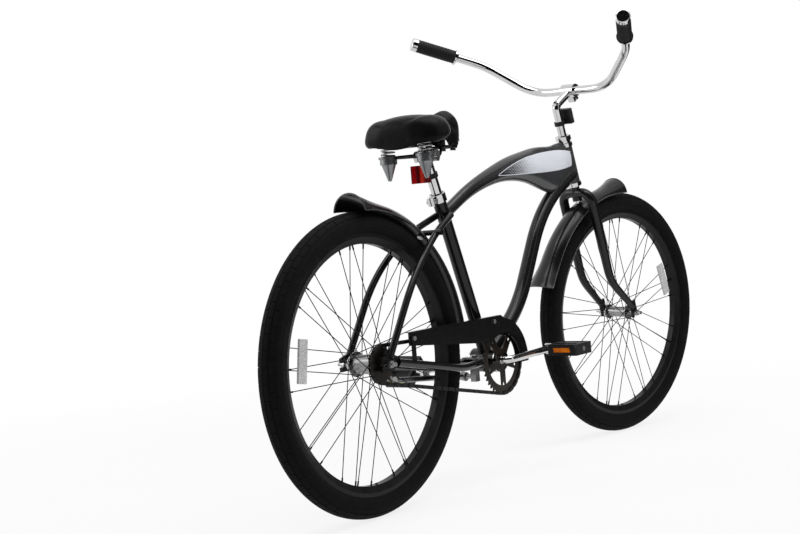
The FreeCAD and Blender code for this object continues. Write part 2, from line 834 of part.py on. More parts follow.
def make_fork():
    steerer_top = head_high + size.cup_height + size.washer_height + size.locknut_height
    foot = size.fork_length - 2 * size.crown_drop
    profile = [("steerer_radius - steerer_wall", "0"), ("steerer_radius", "0"),
               ("steerer_radius", "head_tube_length + 2 * cup_height + 2 * crown_drop + washer_height"
                                  " + locknut_height"),
               ("steerer_radius - steerer_wall", "head_tube_length + 2 * cup_height + 2 * crown_drop"
                                                 " + washer_height + locknut_height")]
    keep("steerer", turned("steerer", profile), steered * along_y(head_point(foot), head_up))
    steerer_core = rod(head_point(foot), head_point(steerer_top), size.steerer_radius)
    crown = size.fork_length - size.crown_drop
    outer = size.front_spacing_half + size.fork_end_thickness / 2
    upper = bent_rod([head_point(crown), head_point(crown, 0, size.blade_spread),
                      head_point(size.blade_taper_from, 0, size.blade_spread)],
                     [size.crown_bend], size.blade_radius)
    lower_line = bent_path([head_point(size.blade_taper_from, 0, size.blade_spread),
                            head_point(size.blade_bend_at, 0, size.blade_spread),
                            head_point(size.blade_end_up, size.fork_rake, outer)],
                           [size.blade_taper_from - size.blade_bend_at])
    steps = lower_line.discretize(9)
    circles = []
    for index, point in enumerate(steps):
        share = index / (len(steps) - 1)
        ahead = steps[min(index + 1, len(steps) - 1)] - steps[max(index - 1, 0)]
        if index == 0:
            ahead = -head_up
        radius = size.blade_radius + (size.blade_tip_radius - size.blade_radius) * share
        circles.append(Part.Wire(Part.makeCircle(radius, point, ahead)))
    blade = upper.fuse(Part.makeLoft(circles, True, False)).removeSplitter()
    end_low = head_point(0, size.fork_rake)
    plate = slab(Vector(-size.fork_end_half, 0, -size.fork_end_half),
                 Vector(size.fork_end_half, size.fork_end_thickness, size.fork_end_top))
    slot = slab(Vector(-size.axle_radius - size.running_gap, 0, -size.fork_end_top),
                Vector(size.axle_radius + size.running_gap, size.fork_end_thickness, 0))
    plate = plate.cut(slot).cut(rod(Vector(), LEFT * size.fork_end_thickness, size.axle_radius + size.running_gap))
    plate.Placement = Placement(end_low + LEFT * size.front_spacing_half, Rotation(UP, head_up))
    left = biggest(blade.cut(steerer_core).cut(plate))
    pieces = [left, mirrored(left), plate, mirrored(plate)]
    keep("fork_blades", shaped("fork_blades", Part.makeCompound(pieces)), steered)


def bar_points():
    """Handlebar corners from the left end to the right end, round the clamp."""
    clamp = head_point(size.stem_bend_at + size.stem_rise, size.stem_reach)
    end = clamp + Vector(-size.bar_end_back, size.bar_end_out, size.bar_end_up)
    riser = clamp + Vector(-size.bar_riser_back, size.bar_riser_out, size.bar_riser_up)
    inner = clamp + LEFT * size.bar_straight_half
    left = [end, riser, inner]
    right = [Vector(point.x, -point.y, point.z) for point in reversed(left)]
    return clamp, left + right


def make_stem():
    clamp, _ = bar_points()
    foot = head_point(size.quill_foot)
    bend = head_point(size.stem_bend_at)
    arm = bent_rod([foot, bend, clamp], [size.stem_bend], size.quill_radius)
    reach = LEFT * size.stem_clamp_half
    barrel = rod(clamp - reach, clamp + reach, size.stem_clamp_radius)
    out = (clamp - bend).normalize()
    down = LEFT.cross(out)
    ear = slab(Vector(-size.stem_ear_half, -size.stem_ear_half, 0),
               Vector(size.stem_ear_half, size.stem_ear_half, size.stem_clamp_radius + size.stem_ear_length))
    slot = slab(Vector(-size.stem_clamp_slot / 2, -size.stem_clamp_half - size.cut_overrun, 0),
                Vector(size.stem_clamp_slot / 2, size.stem_clamp_half + size.cut_overrun,
                       size.stem_clamp_radius + size.stem_ear_length + size.cut_overrun))
    turn = Rotation(out, down.cross(out), down, "XYZ")
    for piece in (ear, slot):
        piece.Placement = Placement(clamp, turn)
    stem = arm.fuse([barrel, ear]).cut(slot).cut(rod(clamp - reach, clamp + reach, size.bar_radius))
    top = head_point(size.stem_bend_at + size.quill_radius + size.stem_bolt_head)
    bolt_way = rod(foot, top, size.quill_bore)
    counterbore = rod(head_point(size.stem_bend_at), top, size.stem_bolt_well)
    ear_middle = clamp + down * (size.stem_clamp_radius + size.stem_ear_length / 2)
    ear_reach = out * size.stem_ear_half
    ear_way = rod(ear_middle - ear_reach, ear_middle + ear_reach, size.small_bolt_radius)
    stem = stem.cut(bolt_way).cut(counterbore).cut(ear_way)
    keep("stem", shaped("stem", biggest(stem)), steered)

    head_seat = size.stem_bend_at
    head = hexagon(head_point(head_seat), head_point(head_seat + size.stem_bolt_head), size.stem_bolt_flats)
    shank = rod(head_point(size.quill_foot - size.wedge_height / 2), head_point(head_seat), size.stem_bolt_radius)
    wedge_foot = head_point(size.quill_foot - size.wedge_height)
    wedge = rod(wedge_foot, foot, size.quill_radius).cut(shank)
    clamp_shank = rod(ear_middle - ear_reach, ear_middle + ear_reach, size.small_bolt_radius)
    clamp_head = rod(ear_middle + ear_reach, ear_middle + out * (size.stem_ear_half + size.small_head_height),
                     size.small_head_radius)
    return [head.fuse(shank), wedge, clamp_shank.fuse(clamp_head)]


def make_handlebar():
    _, points = bar_points()
    bends = [size.bar_outer_bend, size.bar_inner_bend, size.bar_inner_bend, size.bar_outer_bend]
    bar = bent_tube(points, bends, size.bar_radius, size.bar_wall)
    keep("handlebar", shaped("handlebar", bar), steered)

    end = points[0]
    inward = (points[1] - end).normalize()
    cap_start = end - inward * size.end_cap_length / 2
    grip_start = end + inward * size.end_cap_length / 2
    grip_end = grip_start + inward * size.grip_length
    ferrule_end = grip_end + inward * size.ferrule_length
    grip = ring(grip_start, grip_end, size.grip_radius, size.bar_radius)
    cap = rod(cap_start, grip_start, size.end_cap_radius).cut(rod(end, grip_start, size.bar_radius))
    rim = [edge for edge in cap.Edges if edge.Curve.TypeId == "Part::GeomCircle"
           and (edge.CenterOfMass - cap_start).Length < size.running_gap]
    cap = cap.makeFillet(size.end_cap_length / 4, rim)
    disc = rod(grip_end, grip_end + inward * size.ferrule_length / 2, size.ferrule_radius)
    neck = Part.makeCone(size.grip_radius, size.bar_radius + size.bar_wall, size.ferrule_length / 2,
                         grip_end + inward * size.ferrule_length / 2, inward)
    ferrule = disc.fuse(neck).cut(rod(grip_end, ferrule_end, size.bar_radius))
    keep("grips", shaped("grips", both_sides(grip)), steered)
    pieces = [cap, mirrored(cap), ferrule, mirrored(ferrule)]
    keep("grip_ferrules", shaped("grip_ferrules", Part.makeCompound(pieces)), steered)


def reflector_on_post(point, post_up, out, up, post_radius, half_width, half_height, distance, lift):
    """Clamp band, arm and housing on a post, and the lens on the housing's outer face."""
    band_reach = post_up * (size.clamp_band_width / 2)
    band = rod(point - band_reach, point + band_reach, post_radius + size.clamp_band_wall)
    arm = slab(Vector(0, -size.reflector_arm_half, -size.clamp_band_width / 2),
               Vector(distance, size.reflector_arm_half, size.clamp_band_width / 2))
    housing = slab(Vector(distance - size.reflector_depth, -half_width, lift - half_height),
                   Vector(distance, half_width, lift + half_height))
    lens = slab(Vector(distance, -half_width, lift - half_height),
                Vector(distance + size.lens_depth, half_width, lift + half_height))
    outer_edges = [edge for edge in lens.Edges if edge.BoundBox.XMin > distance + size.lens_depth / 2]
    lens = lens.makeChamfer(size.lens_depth / 2, outer_edges)
    for piece in (arm, housing, lens):
        piece.Placement = Placement(point, Rotation(out, up.cross(out), up, "XYZ"))
    bracket = band.fuse([arm, housing]).cut(rod(point - post_up * distance, point + post_up * distance, post_radius))
    return biggest(bracket), lens


def make_front_reflector():
    bracket, lens = reflector_on_post(head_point(size.front_reflector_at), head_up, head_out, head_up,
                                      size.quill_radius, size.front_reflector_half,
                                      size.front_reflector_half_height, size.front_reflector_out,
                                      size.front_reflector_lift)
    keep("front_reflector_bracket", shaped("front_reflector_bracket", bracket), steered)
    keep("front_reflector_lens", shaped("front_reflector_lens", lens), steered)


def make_rear_reflector():
    bracket, lens = reflector_on_post(seat_point(size.rear_reflector_at), seat_up, -AHEAD, UP,
                                      size.seat_post_radius, size.rear_reflector_half,
                                      size.rear_reflector_half_height, size.rear_reflector_back,
                                      size.rear_reflector_lift)
    keep("rear_reflector_bracket", shaped("rear_reflector_bracket", bracket))
    keep("rear_reflector_lens", shaped("rear_reflector_lens", lens))


bead_radius = "tyre_outer_radius - 2 * tyre_section_radius"
casing_radius = "tyre_outer_radius - tyre_section_radius"
round_axle = Placement(Vector(), Rotation(AHEAD, 90))


def make_hub(end, first, last, bearing_spans):
    """Hub shell with two spoke flanges, and its two bearing rings."""
    shell, flange, at, bore = (f"{end}_shell_radius", f"{end}_flange_radius", f"{end}_flange_at", f"{end}_bore")
    edge = f"{at} + flange_thickness"
    collar = f"{bore} + flange_collar"
    half = [(collar, last), (collar, edge), (flange, edge), (flange, at), (shell, at)]
    other = [(shell, f"-{at}"), (flange, f"-{at}"), (flange, f"-{at} - flange_thickness"),
             (collar, f"-{at} - flange_thickness"), (collar, first)]
    body = turned(f"{end}_hub_shell", [(bore, last)] + half + other + [(bore, first)])
    rings = []
    for index, (low, high) in enumerate(bearing_spans):
        inner = f"{end}_cone_radius + running_gap"
        rings.append(turned(f"{end}_hub_bearing_{index + 1}", [(inner, low), (bore, low), (bore, high), (inner, high)]))
    return body, rings


def make_rim(end):
    flange = f"{bead_radius} + rim_flange_height"
    well = f"{bead_radius} - rim_well_depth"
    shelf = "rim_half_width - rim_flange_wall"
    half = [(flange, "rim_half_width"), (f"{bead_radius} - rim_skin", "rim_half_width"),
            (f"{well} - rim_skin", "rim_well_half + rim_skin")]
    other = [(radius, f"-({along})") for radius, along in reversed(half)]
    floor = [(flange, f"-({shelf})"), (bead_radius, f"-({shelf})"), (bead_radius, "-rim_shelf_half"),
             (well, "-rim_well_half"), (well, "rim_well_half"), (bead_radius, "rim_shelf_half"),
             (bead_radius, shelf), (flange, shelf)]
    body = turned(f"{end}_rim_hoop", half + other + floor)
    hole = cylinder(f"{end}_valve_hole", "valve_radius + running_gap", casing_radius,
                    along_z(Vector(), -UP))
    return body, difference(f"{end}_rim", body, hole)


def make_tyre(end, rim_hoop):
    casing = doc.addObject("Part::Torus", f"{end}_casing")
    air = doc.addObject("Part::Torus", f"{end}_air")
    for ring_solid, section in ((casing, "tyre_section_radius"), (air, "tyre_section_radius - tyre_wall")):
        ring_solid.setExpression("Radius1", linked(casing_radius))
        ring_solid.setExpression("Radius2", linked(section))
        ring_solid.Placement = round_axle
    mouth = cylinder(f"{end}_mouth", f"{bead_radius} + rim_well_depth", "2 * rim_shelf_half",
                     Placement(LEFT * size.rim_shelf_half, Rotation(AHEAD, 90)))
    hollow = difference(f"{end}_carcass", casing, air)
    open_ring = difference(f"{end}_open_carcass", hollow, mouth)
    return difference(f"{end}_tyre", open_ring, rim_hoop)


def make_tube(end):
    """Inner tube with its valve, open through the valve's bore."""
    centre = number(casing_radius)
    section = size.tyre_section_radius - size.tyre_wall - size.rest_gap
    skin = Part.makeTorus(centre, section, Vector(), LEFT)
    air = Part.makeTorus(centre, section - size.tube_wall, Vector(), LEFT)
    foot = -UP * centre
    tip = foot + UP * size.valve_length
    body = skin.fuse(rod(foot, tip, size.valve_radius)).cut(air).cut(rod(foot, tip, size.valve_bore))
    return shaped(f"{end}_tube", biggest(body))


def make_spokes(end, hub_shape, rim_shape):
    """Thirty-six crossed spokes; each leaves its flange on alternate faces."""
    at = number(f"{end}_flange_at") + size.flange_thickness / 2
    orbit = number(f"{end}_flange_radius") - size.spoke_inset
    rim_radius = number(f"{bead_radius} - rim_well_depth") - size.rim_skin / 2
    per_flange = 18
    step = 2 * math.pi / per_flange
    crossing = 3 * step
    pieces = []
    for side in (1, -1):
        for index in range(per_flange):
            way = 1 if index % 2 else -1
            start_angle = index * step + (step / 2 if side < 0 else 0)
            end_angle = (index + way / 4) * step + (step / 2 if side < 0 else 0) + way * crossing
            face = way * (size.flange_thickness / 2 + size.spoke_radius)
            start = Vector(orbit * math.cos(start_angle), side * (at + face), orbit * math.sin(start_angle))
            finish = Vector(rim_radius * math.cos(end_angle), side * size.rim_well_half / 2,
                            rim_radius * math.sin(end_angle))
            inward = (start - finish).normalize()
            spoke = rod(start, finish, size.spoke_radius)
            nipple = rod(finish, finish + inward * size.nipple_length, size.nipple_radius)
            elbow = rod(start, Vector(start.x, side * at, start.z), size.spoke_radius)
            pieces.append(biggest(spoke.fuse([nipple, elbow]).cut(rim_shape).cut(hub_shape)))
    return shaped(f"{end}_spokes", Part.makeCompound(pieces))


def make_spoke_reflector(end, angle):
    low = Vector(-size.reflector_height / 2, -number(f"{end}_reflector_offset") - size.reflector_thickness,
                 -size.reflector_length / 2)
    lens = slab(low, low + Vector(size.reflector_height, size.reflector_thickness, size.reflector_length))
    lens = lens.makeFillet(size.reflector_thickness / 3, lens.Edges)
    middle = Vector(math.cos(angle), 0, math.sin(angle)) * number(f"{end}_reflector_orbit")
    lens.Placement = Placement(middle, Rotation(LEFT, -math.degrees(angle)))
    return shaped(f"{end}_spoke_reflector", lens)


def make_wheel(end, place, hub_span, bearing_spans, reflector_angle):
    shell, rings = make_hub(end, *hub_span, bearing_spans)
    hoop, rim = make_rim(end)
    tyre = make_tyre(end, hoop)
    doc.recompute()
    spokes = make_spokes(end, shell.Shape, rim.Shape)
    keep(f"{end}_hub", group(f"{end}_hub", [shell] + rings), place)
    keep(f"{end}_rim", rim, place)
    keep(f"{end}_tyre", tyre, place)
    keep(f"{end}_inner_tube", make_tube(end), place)
    keep(f"{end}_spokes", spokes, place)
    keep(f"{end}_spoke_reflector", make_spoke_reflector(end, reflector_angle), place)


def make_wheels():
    for end, turn, place in (("front", math.radians(21), steered * Placement(front_axle_at, Rotation())),
                             ("rear", math.radians(171), Placement(rear_axle_at, Rotation()))):
        half = f"{end}_hub_half"
        spans = [(f"{half} - hub_bearing_width", half), (f"-{half}", f"hub_bearing_width - {half}")]
        make_wheel(end, place, (f"-{half}", half), spans, turn)


def axle_nut(inner, way):
    return hexagon(LEFT * (inner * way), LEFT * ((inner + size.axle_nut_height) * way), size.axle_nut_flats,
                   size.axle_radius)


def make_axles():
    for end, place in (("front", steered * Placement(front_axle_at, Rotation())),
                       ("rear", Placement(rear_axle_at, Rotation()))):
        half = number(f"{end}_axle_half")
        spacing = number(f"{end}_spacing_half")
        cone_start = number(f"{end}_cone_inner")
        cone_radius = number(f"{end}_cone_radius")
        plate = size.fork_end_thickness if end == "front" else size.dropout_thickness
        pieces = [rod(LEFT * -half, LEFT * half, size.axle_radius)]
        for way in (1, -1):
            pieces.append(axle_nut(spacing + plate, way))
            cone_end = spacing
            if end == "rear" and way == 1:
                cone_end = size.rear_hub_half + size.rest_gap + size.brake_cap_width
                arm_end = cone_end + size.brake_arm_thickness
                pieces.append(ring(LEFT * (size.rear_hub_half + size.rest_gap), LEFT * cone_end,
                                   size.brake_cap_radius, cone_radius))
                pieces.append(ring(LEFT * arm_end, LEFT * spacing, size.brake_spacer_radius, size.axle_radius))
            pieces.append(ring(LEFT * (cone_start * way), LEFT * (cone_end * way), cone_radius, size.axle_radius))
        keep(f"{end}_axle", shaped(f"{end}_axle", Part.makeCompound(pieces)), place)


def make_brake_arm():
    """Reaction arm on the axle's left side, strapped to the left chain stay."""
    inner = size.rear_hub_half + size.rest_gap + size.brake_cap_width
    start = rear_axle_at + LEFT * inner
    tip = start + Vector(size.brake_arm_reach, 0, -size.brake_arm_drop)
    wide = LEFT * size.brake_arm_thickness
    along = (tip - start).normalize()
    across = along.cross(LEFT) * size.brake_arm_half
    bar = Part.Face(Part.makePolygon([start + across, tip + across, tip - across, start - across,
                                      start + across])).extrude(wide)
    arm = bar.fuse([rod(start, start + wide, 2 * size.brake_arm_half), rod(tip, tip + wide, size.brake_arm_half)])
    arm = arm.cut(rod(start, start + wide, size.axle_radius)).cut(rod(tip, tip + wide, size.small_bolt_radius))

    points = chain_stay_points()
    middle = stay_point(points, tip.x)
    run = (points[2] - points[1]).normalize() * (size.strap_width / 2)
    band = rod(middle - run, middle + run, size.chain_stay_radius + size.strap_wall)
    tab_start = tip + wide
    tab = slab(Vector(tip.x - size.strap_tab_half, tab_start.y, tip.z - size.strap_tab_half),
               Vector(tip.x + size.strap_tab_half, tab_start.y + size.strap_wall, middle.z))
    strap = band.fuse(tab).cut(rod(middle - run * 3, middle + run * 3, size.chain_stay_radius))
    strap = strap.cut(rod(tab_start, tab_start + LEFT * size.strap_wall, size.small_bolt_radius))
    keep("brake_arm", shaped("brake_arm", Part.makeCompound([arm.removeSplitter(), biggest(strap)])))
    bolt_end = tab_start + LEFT * size.strap_wall
    bolt = rod(tip, bolt_end, size.small_bolt_radius)
    return bolt.fuse(rod(bolt_end, bolt_end + LEFT * size.small_head_height, size.small_head_radius))


def make_seat_clamp():
    """Split band at the top of the seat tube; its ears and bolt face the rear."""
    top = seat_point(size.seat_tube_length)
    foot = seat_point(size.seat_tube_length - size.seat_clamp_height)
    outer = size.seat_tube_radius + size.seat_clamp_wall
    frame = Rotation(seat_out, LEFT, seat_up, "XYZ")
    ears = slab(Vector(-outer - size.clamp_ear_length, -size.clamp_ear_half, 0),
                Vector(0, size.clamp_ear_half, size.seat_clamp_height))
    slot = slab(Vector(-outer - size.clamp_ear_length - size.cut_overrun, -size.clamp_slot / 2, 0),
                Vector(0, size.clamp_slot / 2, size.seat_clamp_height))
    for piece in (ears, slot):
        piece.Placement = Placement(foot, frame)
    middle = seat_point(size.seat_tube_length - size.seat_clamp_height / 2, -outer - size.clamp_ear_length / 2)
    reach = LEFT * size.clamp_ear_half
    shank = rod(middle - reach, middle + reach, size.small_bolt_radius)
    band = rod(foot, top, outer).fuse(ears).cut(slot).cut(rod(foot, top, size.seat_tube_radius)).cut(shank)
    keep("seat_clamp", shaped("seat_clamp", biggest(band)))
    head = rod(middle + reach, middle + reach + LEFT * size.small_head_height, size.small_head_radius)
    nut = rod(middle - reach - LEFT * size.small_head_height, middle - reach, size.small_head_radius)
    return shank.fuse([head, nut])


def make_rear_fender_bolt():
    """Bolt head under the rear fender's crown, below the seat stay bridge."""
    way = (fender_bridge_middle() - rear_axle_at).normalize()
    arch = (size.fender_half_width ** 2 + size.fender_depth ** 2) / (2 * size.fender_depth)
    hollow = size.fender_bolt_head ** 2 / (2 * arch) + size.rest_gap
    seat = rear_axle_at + way * (fender_crown_radius - size.fender_wall - hollow)
    return rod(seat - way * size.small_head_height, seat, size.fender_bolt_head)


guard_y = -size.guard_offset
guard_at = bb_at - Vector(size.guard_centre_back, 0, size.guard_centre_drop)


def guard_outline():
    """Guard in the chain plane, measured from the middle of its round end: x ahead, y up."""
    top = size.guard_top
    outer = size.guard_outer
    inner = size.guard_inner
    tip = -size.guard_tip_depth
    front = Vector(math.sqrt(outer ** 2 - tip ** 2), tip)
    arc_top = Vector(math.sqrt(outer ** 2 - (top - size.guard_flange) ** 2), top - size.guard_flange)
    corner = Vector(0, top)
    back_high = Vector(-size.guard_back, top)
    back_low = Vector(-size.guard_back, top - size.guard_back_depth)
    low_edge = top - size.guard_front_depth
    meet = Vector(-math.sqrt(inner ** 2 - low_edge ** 2), low_edge)
    inner_front = Vector(math.sqrt(inner ** 2 - tip ** 2), tip)
    mid_outer = Vector(outer * math.cos(math.pi / 5), outer * math.sin(math.pi / 5))
    mid_inner = Vector(inner * math.cos(math.pi / 4), inner * math.sin(math.pi / 4))
    return corner, arc_top, mid_outer, front, inner_front, mid_inner, meet, back_low, back_high


def make_chain_guard():
    corner, arc_top, mid_outer, front, inner_front, mid_inner, meet, back_low, back_high = guard_outline()

    def flat(point):
        return guard_at + Vector(point.x, guard_y, point.y)

    shoulder = Part.Arc(flat(corner), flat((corner + arc_top) * 0.5 + (corner + arc_top).normalize() * size.rest_gap),
                        flat(arc_top)).toShape()
    rounded = Part.Arc(flat(arc_top), flat(mid_outer), flat(front)).toShape()
    top_edge = Part.LineSegment(flat(back_high), flat(corner)).toShape()
    edges = [top_edge, shoulder, rounded,
             Part.LineSegment(flat(front), flat(inner_front)).toShape(),
             Part.Arc(flat(inner_front), flat(mid_inner), flat(meet)).toShape(),
             Part.LineSegment(flat(meet), flat(back_low)).toShape(),
             Part.LineSegment(flat(back_low), flat(back_high)).toShape()]
    plate = Part.Face(Part.Wire(edges)).extrude(-LEFT * size.guard_thickness)
    rim_wire = Part.Wire([top_edge, shoulder, rounded])
    rim_start = flat(back_high)
    strip = Part.makePolygon([rim_start, rim_start + LEFT * size.guard_flange,
                              rim_start + LEFT * size.guard_flange - UP * size.guard_thickness,
                              rim_start - UP * size.guard_thickness, rim_start])
    flange = rim_wire.makePipeShell([strip], True, False)
    guard = plate.fuse(flange).removeSplitter()
    tab_middle = flat(back_low) + Vector(size.guard_tab_inset, 0, size.guard_back_depth / 2)
    post_rise = guard_at.z + size.guard_top - size.guard_post_drop - bb_at.z
    post_middle = seat_point(post_rise / seat_up.z)
    ways = [Vector(tab_middle.x, guard_y, tab_middle.z), Vector(post_middle.x, guard_y, post_middle.z)]
    for way in ways:
        guard = guard.cut(rod(way - LEFT * size.cut_overrun, way + LEFT * size.running_gap, size.small_bolt_radius))
    keep("chain_guard", shaped("chain_guard", biggest(guard)))

    outside = guard_y - size.guard_thickness
    stay = chain_stay_points()
    stay_core = bent_rod([Vector(p.x, -p.y, p.z) for p in stay], [size.chain_stay_bend], size.chain_stay_radius)
    low = stay_point(stay, tab_middle.x)
    tab = slab(Vector(tab_middle.x - size.guard_tab_half, outside - size.guard_tab_thickness, low.z),
               Vector(tab_middle.x + size.guard_tab_half, outside, tab_middle.z + size.guard_tab_half))
    shank = rod(Vector(tab_middle.x, guard_y, tab_middle.z),
                Vector(tab_middle.x, outside - size.guard_tab_thickness, tab_middle.z), size.small_bolt_radius)
    tab = biggest(tab.cut(stay_core).cut(shank))
    post = rod(Vector(post_middle.x, 0, post_middle.z), Vector(post_middle.x, guard_y, post_middle.z),
               size.guard_post_radius)
    post = biggest(post.cut(seat_core))
    keep("chain_guard_brackets", shaped("chain_guard_brackets", Part.makeCompound([tab, post])))

    tab_bolt = shank.fuse(rod(Vector(tab_middle.x, outside - size.guard_tab_thickness, tab_middle.z),
                              Vector(tab_middle.x, outside - size.guard_tab_thickness - size.small_head_height,
                                     tab_middle.z), size.small_head_radius))
    post_bolt = rod(Vector(post_middle.x, guard_y, post_middle.z), Vector(post_middle.x, outside, post_middle.z),
                    size.small_bolt_radius)
    post_bolt = post_bolt.fuse(rod(Vector(post_middle.x, outside, post_middle.z),
                                   Vector(post_middle.x, outside - size.small_head_height / 2, post_middle.z),
                                   size.small_head_radius))
    return [tab_bolt, post_bolt]


def tooth_edges(teeth, phase):
    """Closed tooth outline with a round seat for each roller, about the origin."""
    radius = pitch_radius(teeth)
    seat = size.roller_radius + size.roller_seat_gap
    tip = radius + size.tooth_tip
    tip_half = size.tooth_tip_half / tip
    edges = []

    def turn_to(angle, out, aside):
        outward = Vector(math.cos(angle), math.sin(angle))
        sideways = Vector(-math.sin(angle), math.cos(angle))
        return outward * out + sideways * aside

    for index in range(int(teeth)):
        angle = phase + 2 * math.pi * index / teeth
        middle_angle = angle + math.pi / teeth
        next_angle = angle + 2 * math.pi / teeth
        first = turn_to(angle, radius, -seat)
        floor = turn_to(angle, radius - seat, 0)
        last = turn_to(angle, radius, seat)
        tip_first = turn_to(middle_angle - tip_half, tip, 0)
        tip_last = turn_to(middle_angle + tip_half, tip, 0)
        following = turn_to(next_angle, radius, -seat)
        edges.append(Part.Arc(first, floor, last))
        edges.append(Part.LineSegment(last, tip_first))
        edges.append(Part.LineSegment(tip_first, tip_last))
        edges.append(Part.LineSegment(tip_last, following))
    return edges


def window_edges(middle_angle, inner, outer, inner_half, outer_half):
    """One chainring window between two arms, closed by two arcs and two lines."""
    def at(radius, angle):
        return Vector(radius * math.cos(angle), radius * math.sin(angle))

    low = (middle_angle - inner_half, middle_angle + inner_half)
    high = (middle_angle - outer_half, middle_angle + outer_half)
    return [Part.Arc(at(inner, low[0]), at(inner, middle_angle), at(inner, low[1])),
            Part.LineSegment(at(inner, low[1]), at(outer, high[1])),
            Part.Arc(at(outer, high[1]), at(outer, middle_angle), at(outer, high[0])),
            Part.LineSegment(at(outer, high[0]), at(inner, low[0]))]


def chain_rollers():
    """Roller centres round both chain wheels, in the plane of the chain, from the crank's centre."""
    away = rear_axle_at - bb_at
    heading = math.atan2(away.z, away.x)
    slant = math.asin((ring_pitch_radius - sprocket_pitch_radius) / away.Length)
    run = math.sqrt(away.Length ** 2 - (ring_pitch_radius - sprocket_pitch_radius) ** 2) / size.chain_pitch
    upper = heading - math.pi / 2 + slant
    lower = heading + math.pi / 2 - slant
    on_ring = (0.5 + slant / math.pi) * size.chainring_teeth
    on_sprocket = (0.5 - slant / math.pi) * size.sprocket_teeth

    def ring_point(angle):
        return Vector(ring_pitch_radius * math.cos(angle), 0, ring_pitch_radius * math.sin(angle))

    def sprocket_point(angle):
        return away + Vector(sprocket_pitch_radius * math.cos(angle), 0, sprocket_pitch_radius * math.sin(angle))

    # Forward round the ring, back along the upper run, round the sprocket, forward along the lower run
    centres = []
    for index in range(int(size.chain_links)):
        place = float(index)
        if place <= on_ring:
            centres.append(ring_point(lower + place / size.chainring_teeth * 2 * math.pi))
            continue
        place -= on_ring
        if place <= run:
            start, end = ring_point(upper), sprocket_point(upper)
            centres.append(start + (end - start) * (place / run))
            continue
        place -= run
        if place <= on_sprocket:
            centres.append(sprocket_point(upper + place / size.sprocket_teeth * 2 * math.pi))
            continue
        place -= on_sprocket
        start, end = sprocket_point(lower), ring_point(lower)
        centres.append(start + (end - start) * (place / run))
    first_seated = math.ceil(on_ring + run) - on_ring - run
    return centres, lower, upper + first_seated / size.sprocket_teeth * 2 * math.pi


def make_chain_wheels():
    _, ring_phase, small_phase = chain_rollers()
    flat = Rotation(AHEAD, 90)
    arms = 5
    step = 2 * math.pi / arms
    edges = tooth_edges(size.chainring_teeth, ring_phase)
    edges.append(Part.Circle(Vector(), UP, size.spindle_radius))
    for index in range(arms):
        edges += window_edges(math.pi / 2 + index * step, size.chainring_hub, size.chainring_rim,
                              step * WINDOW_INNER_SHARE, step * WINDOW_OUTER_SHARE)
        edges += window_edges(math.pi / 2 + (index + 0.5) * step,
                              size.chainring_rim - (size.chainring_rim - size.chainring_hub) / 4,
                              size.chainring_rim, step * WINDOW_DIMPLE_SHARE / 3, step * WINDOW_DIMPLE_SHARE)
    ring_plate = padded("chainring", edges, "chainring_thickness")
    keep("chainring", ring_plate, Placement(bb_at - LEFT * size.chain_line, flat))

    edges = tooth_edges(size.sprocket_teeth, small_phase)
    edges.append(Part.Circle(Vector(), UP, size.driver_radius))
    plate = padded("sprocket_plate", edges, "chainring_thickness")
    plate.Placement = Placement(-LEFT * size.chain_line, flat)
    inner = "rear_cone_radius + running_gap"
    start = "-rear_hub_half - rest_gap"
    sleeve = turned("driver_sleeve", [(inner, start), ("driver_radius", start), ("driver_radius", "-driver_outer"),
                                      (inner, "-driver_outer")])
    keep("rear_sprocket", group("rear_sprocket", [plate, sleeve]), Placement(rear_axle_at, Rotation()))


def link_plate(start, end, low, high):
    """One chain side plate: two round ends joined by straight sides."""
    along = (end - start).normalize()
    across = along.cross(LEFT) * size.link_half_height
    lift = LEFT * low
    reach = along * size.link_half_height
    corners = [start + across, end + across, end + reach, end - across, start - across, start - reach]
    corners = [corner + lift for corner in corners]
    wire = Part.Wire([Part.LineSegment(corners[0], corners[1]).toShape(),
                      Part.Arc(corners[1], corners[2], corners[3]).toShape(),
                      Part.LineSegment(corners[3], corners[4]).toShape(),
                      Part.Arc(corners[4], corners[5], corners[0]).toShape()])
    return Part.Face(wire).extrude(LEFT * (high - low))


def make_chain():
    centres, _, _ = chain_rollers()
    base = bb_at - LEFT * size.chain_line
    pieces = []
    for index, centre in enumerate(centres):
        start = base + centre
        end = base + centres[(index + 1) % len(centres)]
        reach = LEFT * size.roller_half
        pieces.append(rod(start - reach, start + reach, size.roller_radius))
        low = size.roller_half + (size.link_plate if index % 2 else 0)
        pieces.append(link_plate(start, end, low, low + size.link_plate))
        pieces.append(link_plate(start, end, -low - size.link_plate, -low))
    keep("chain", shaped("chain", Part.makeCompound(pieces)))


def crank_point(along, side):
    angle = radians("crank_angle")
    return bb_at + Vector(math.cos(angle), 0, math.sin(angle)) * along + LEFT * side


def crank_eye(side):
    """Middle of the pedal eye: the right arm points forward, the left arm back."""
    if side < 0:
        return crank_point(size.crank_length, -size.crank_right_knee - size.crank_flare)
    return crank_point(-size.crank_length, size.crank_left_knee + size.crank_flare)


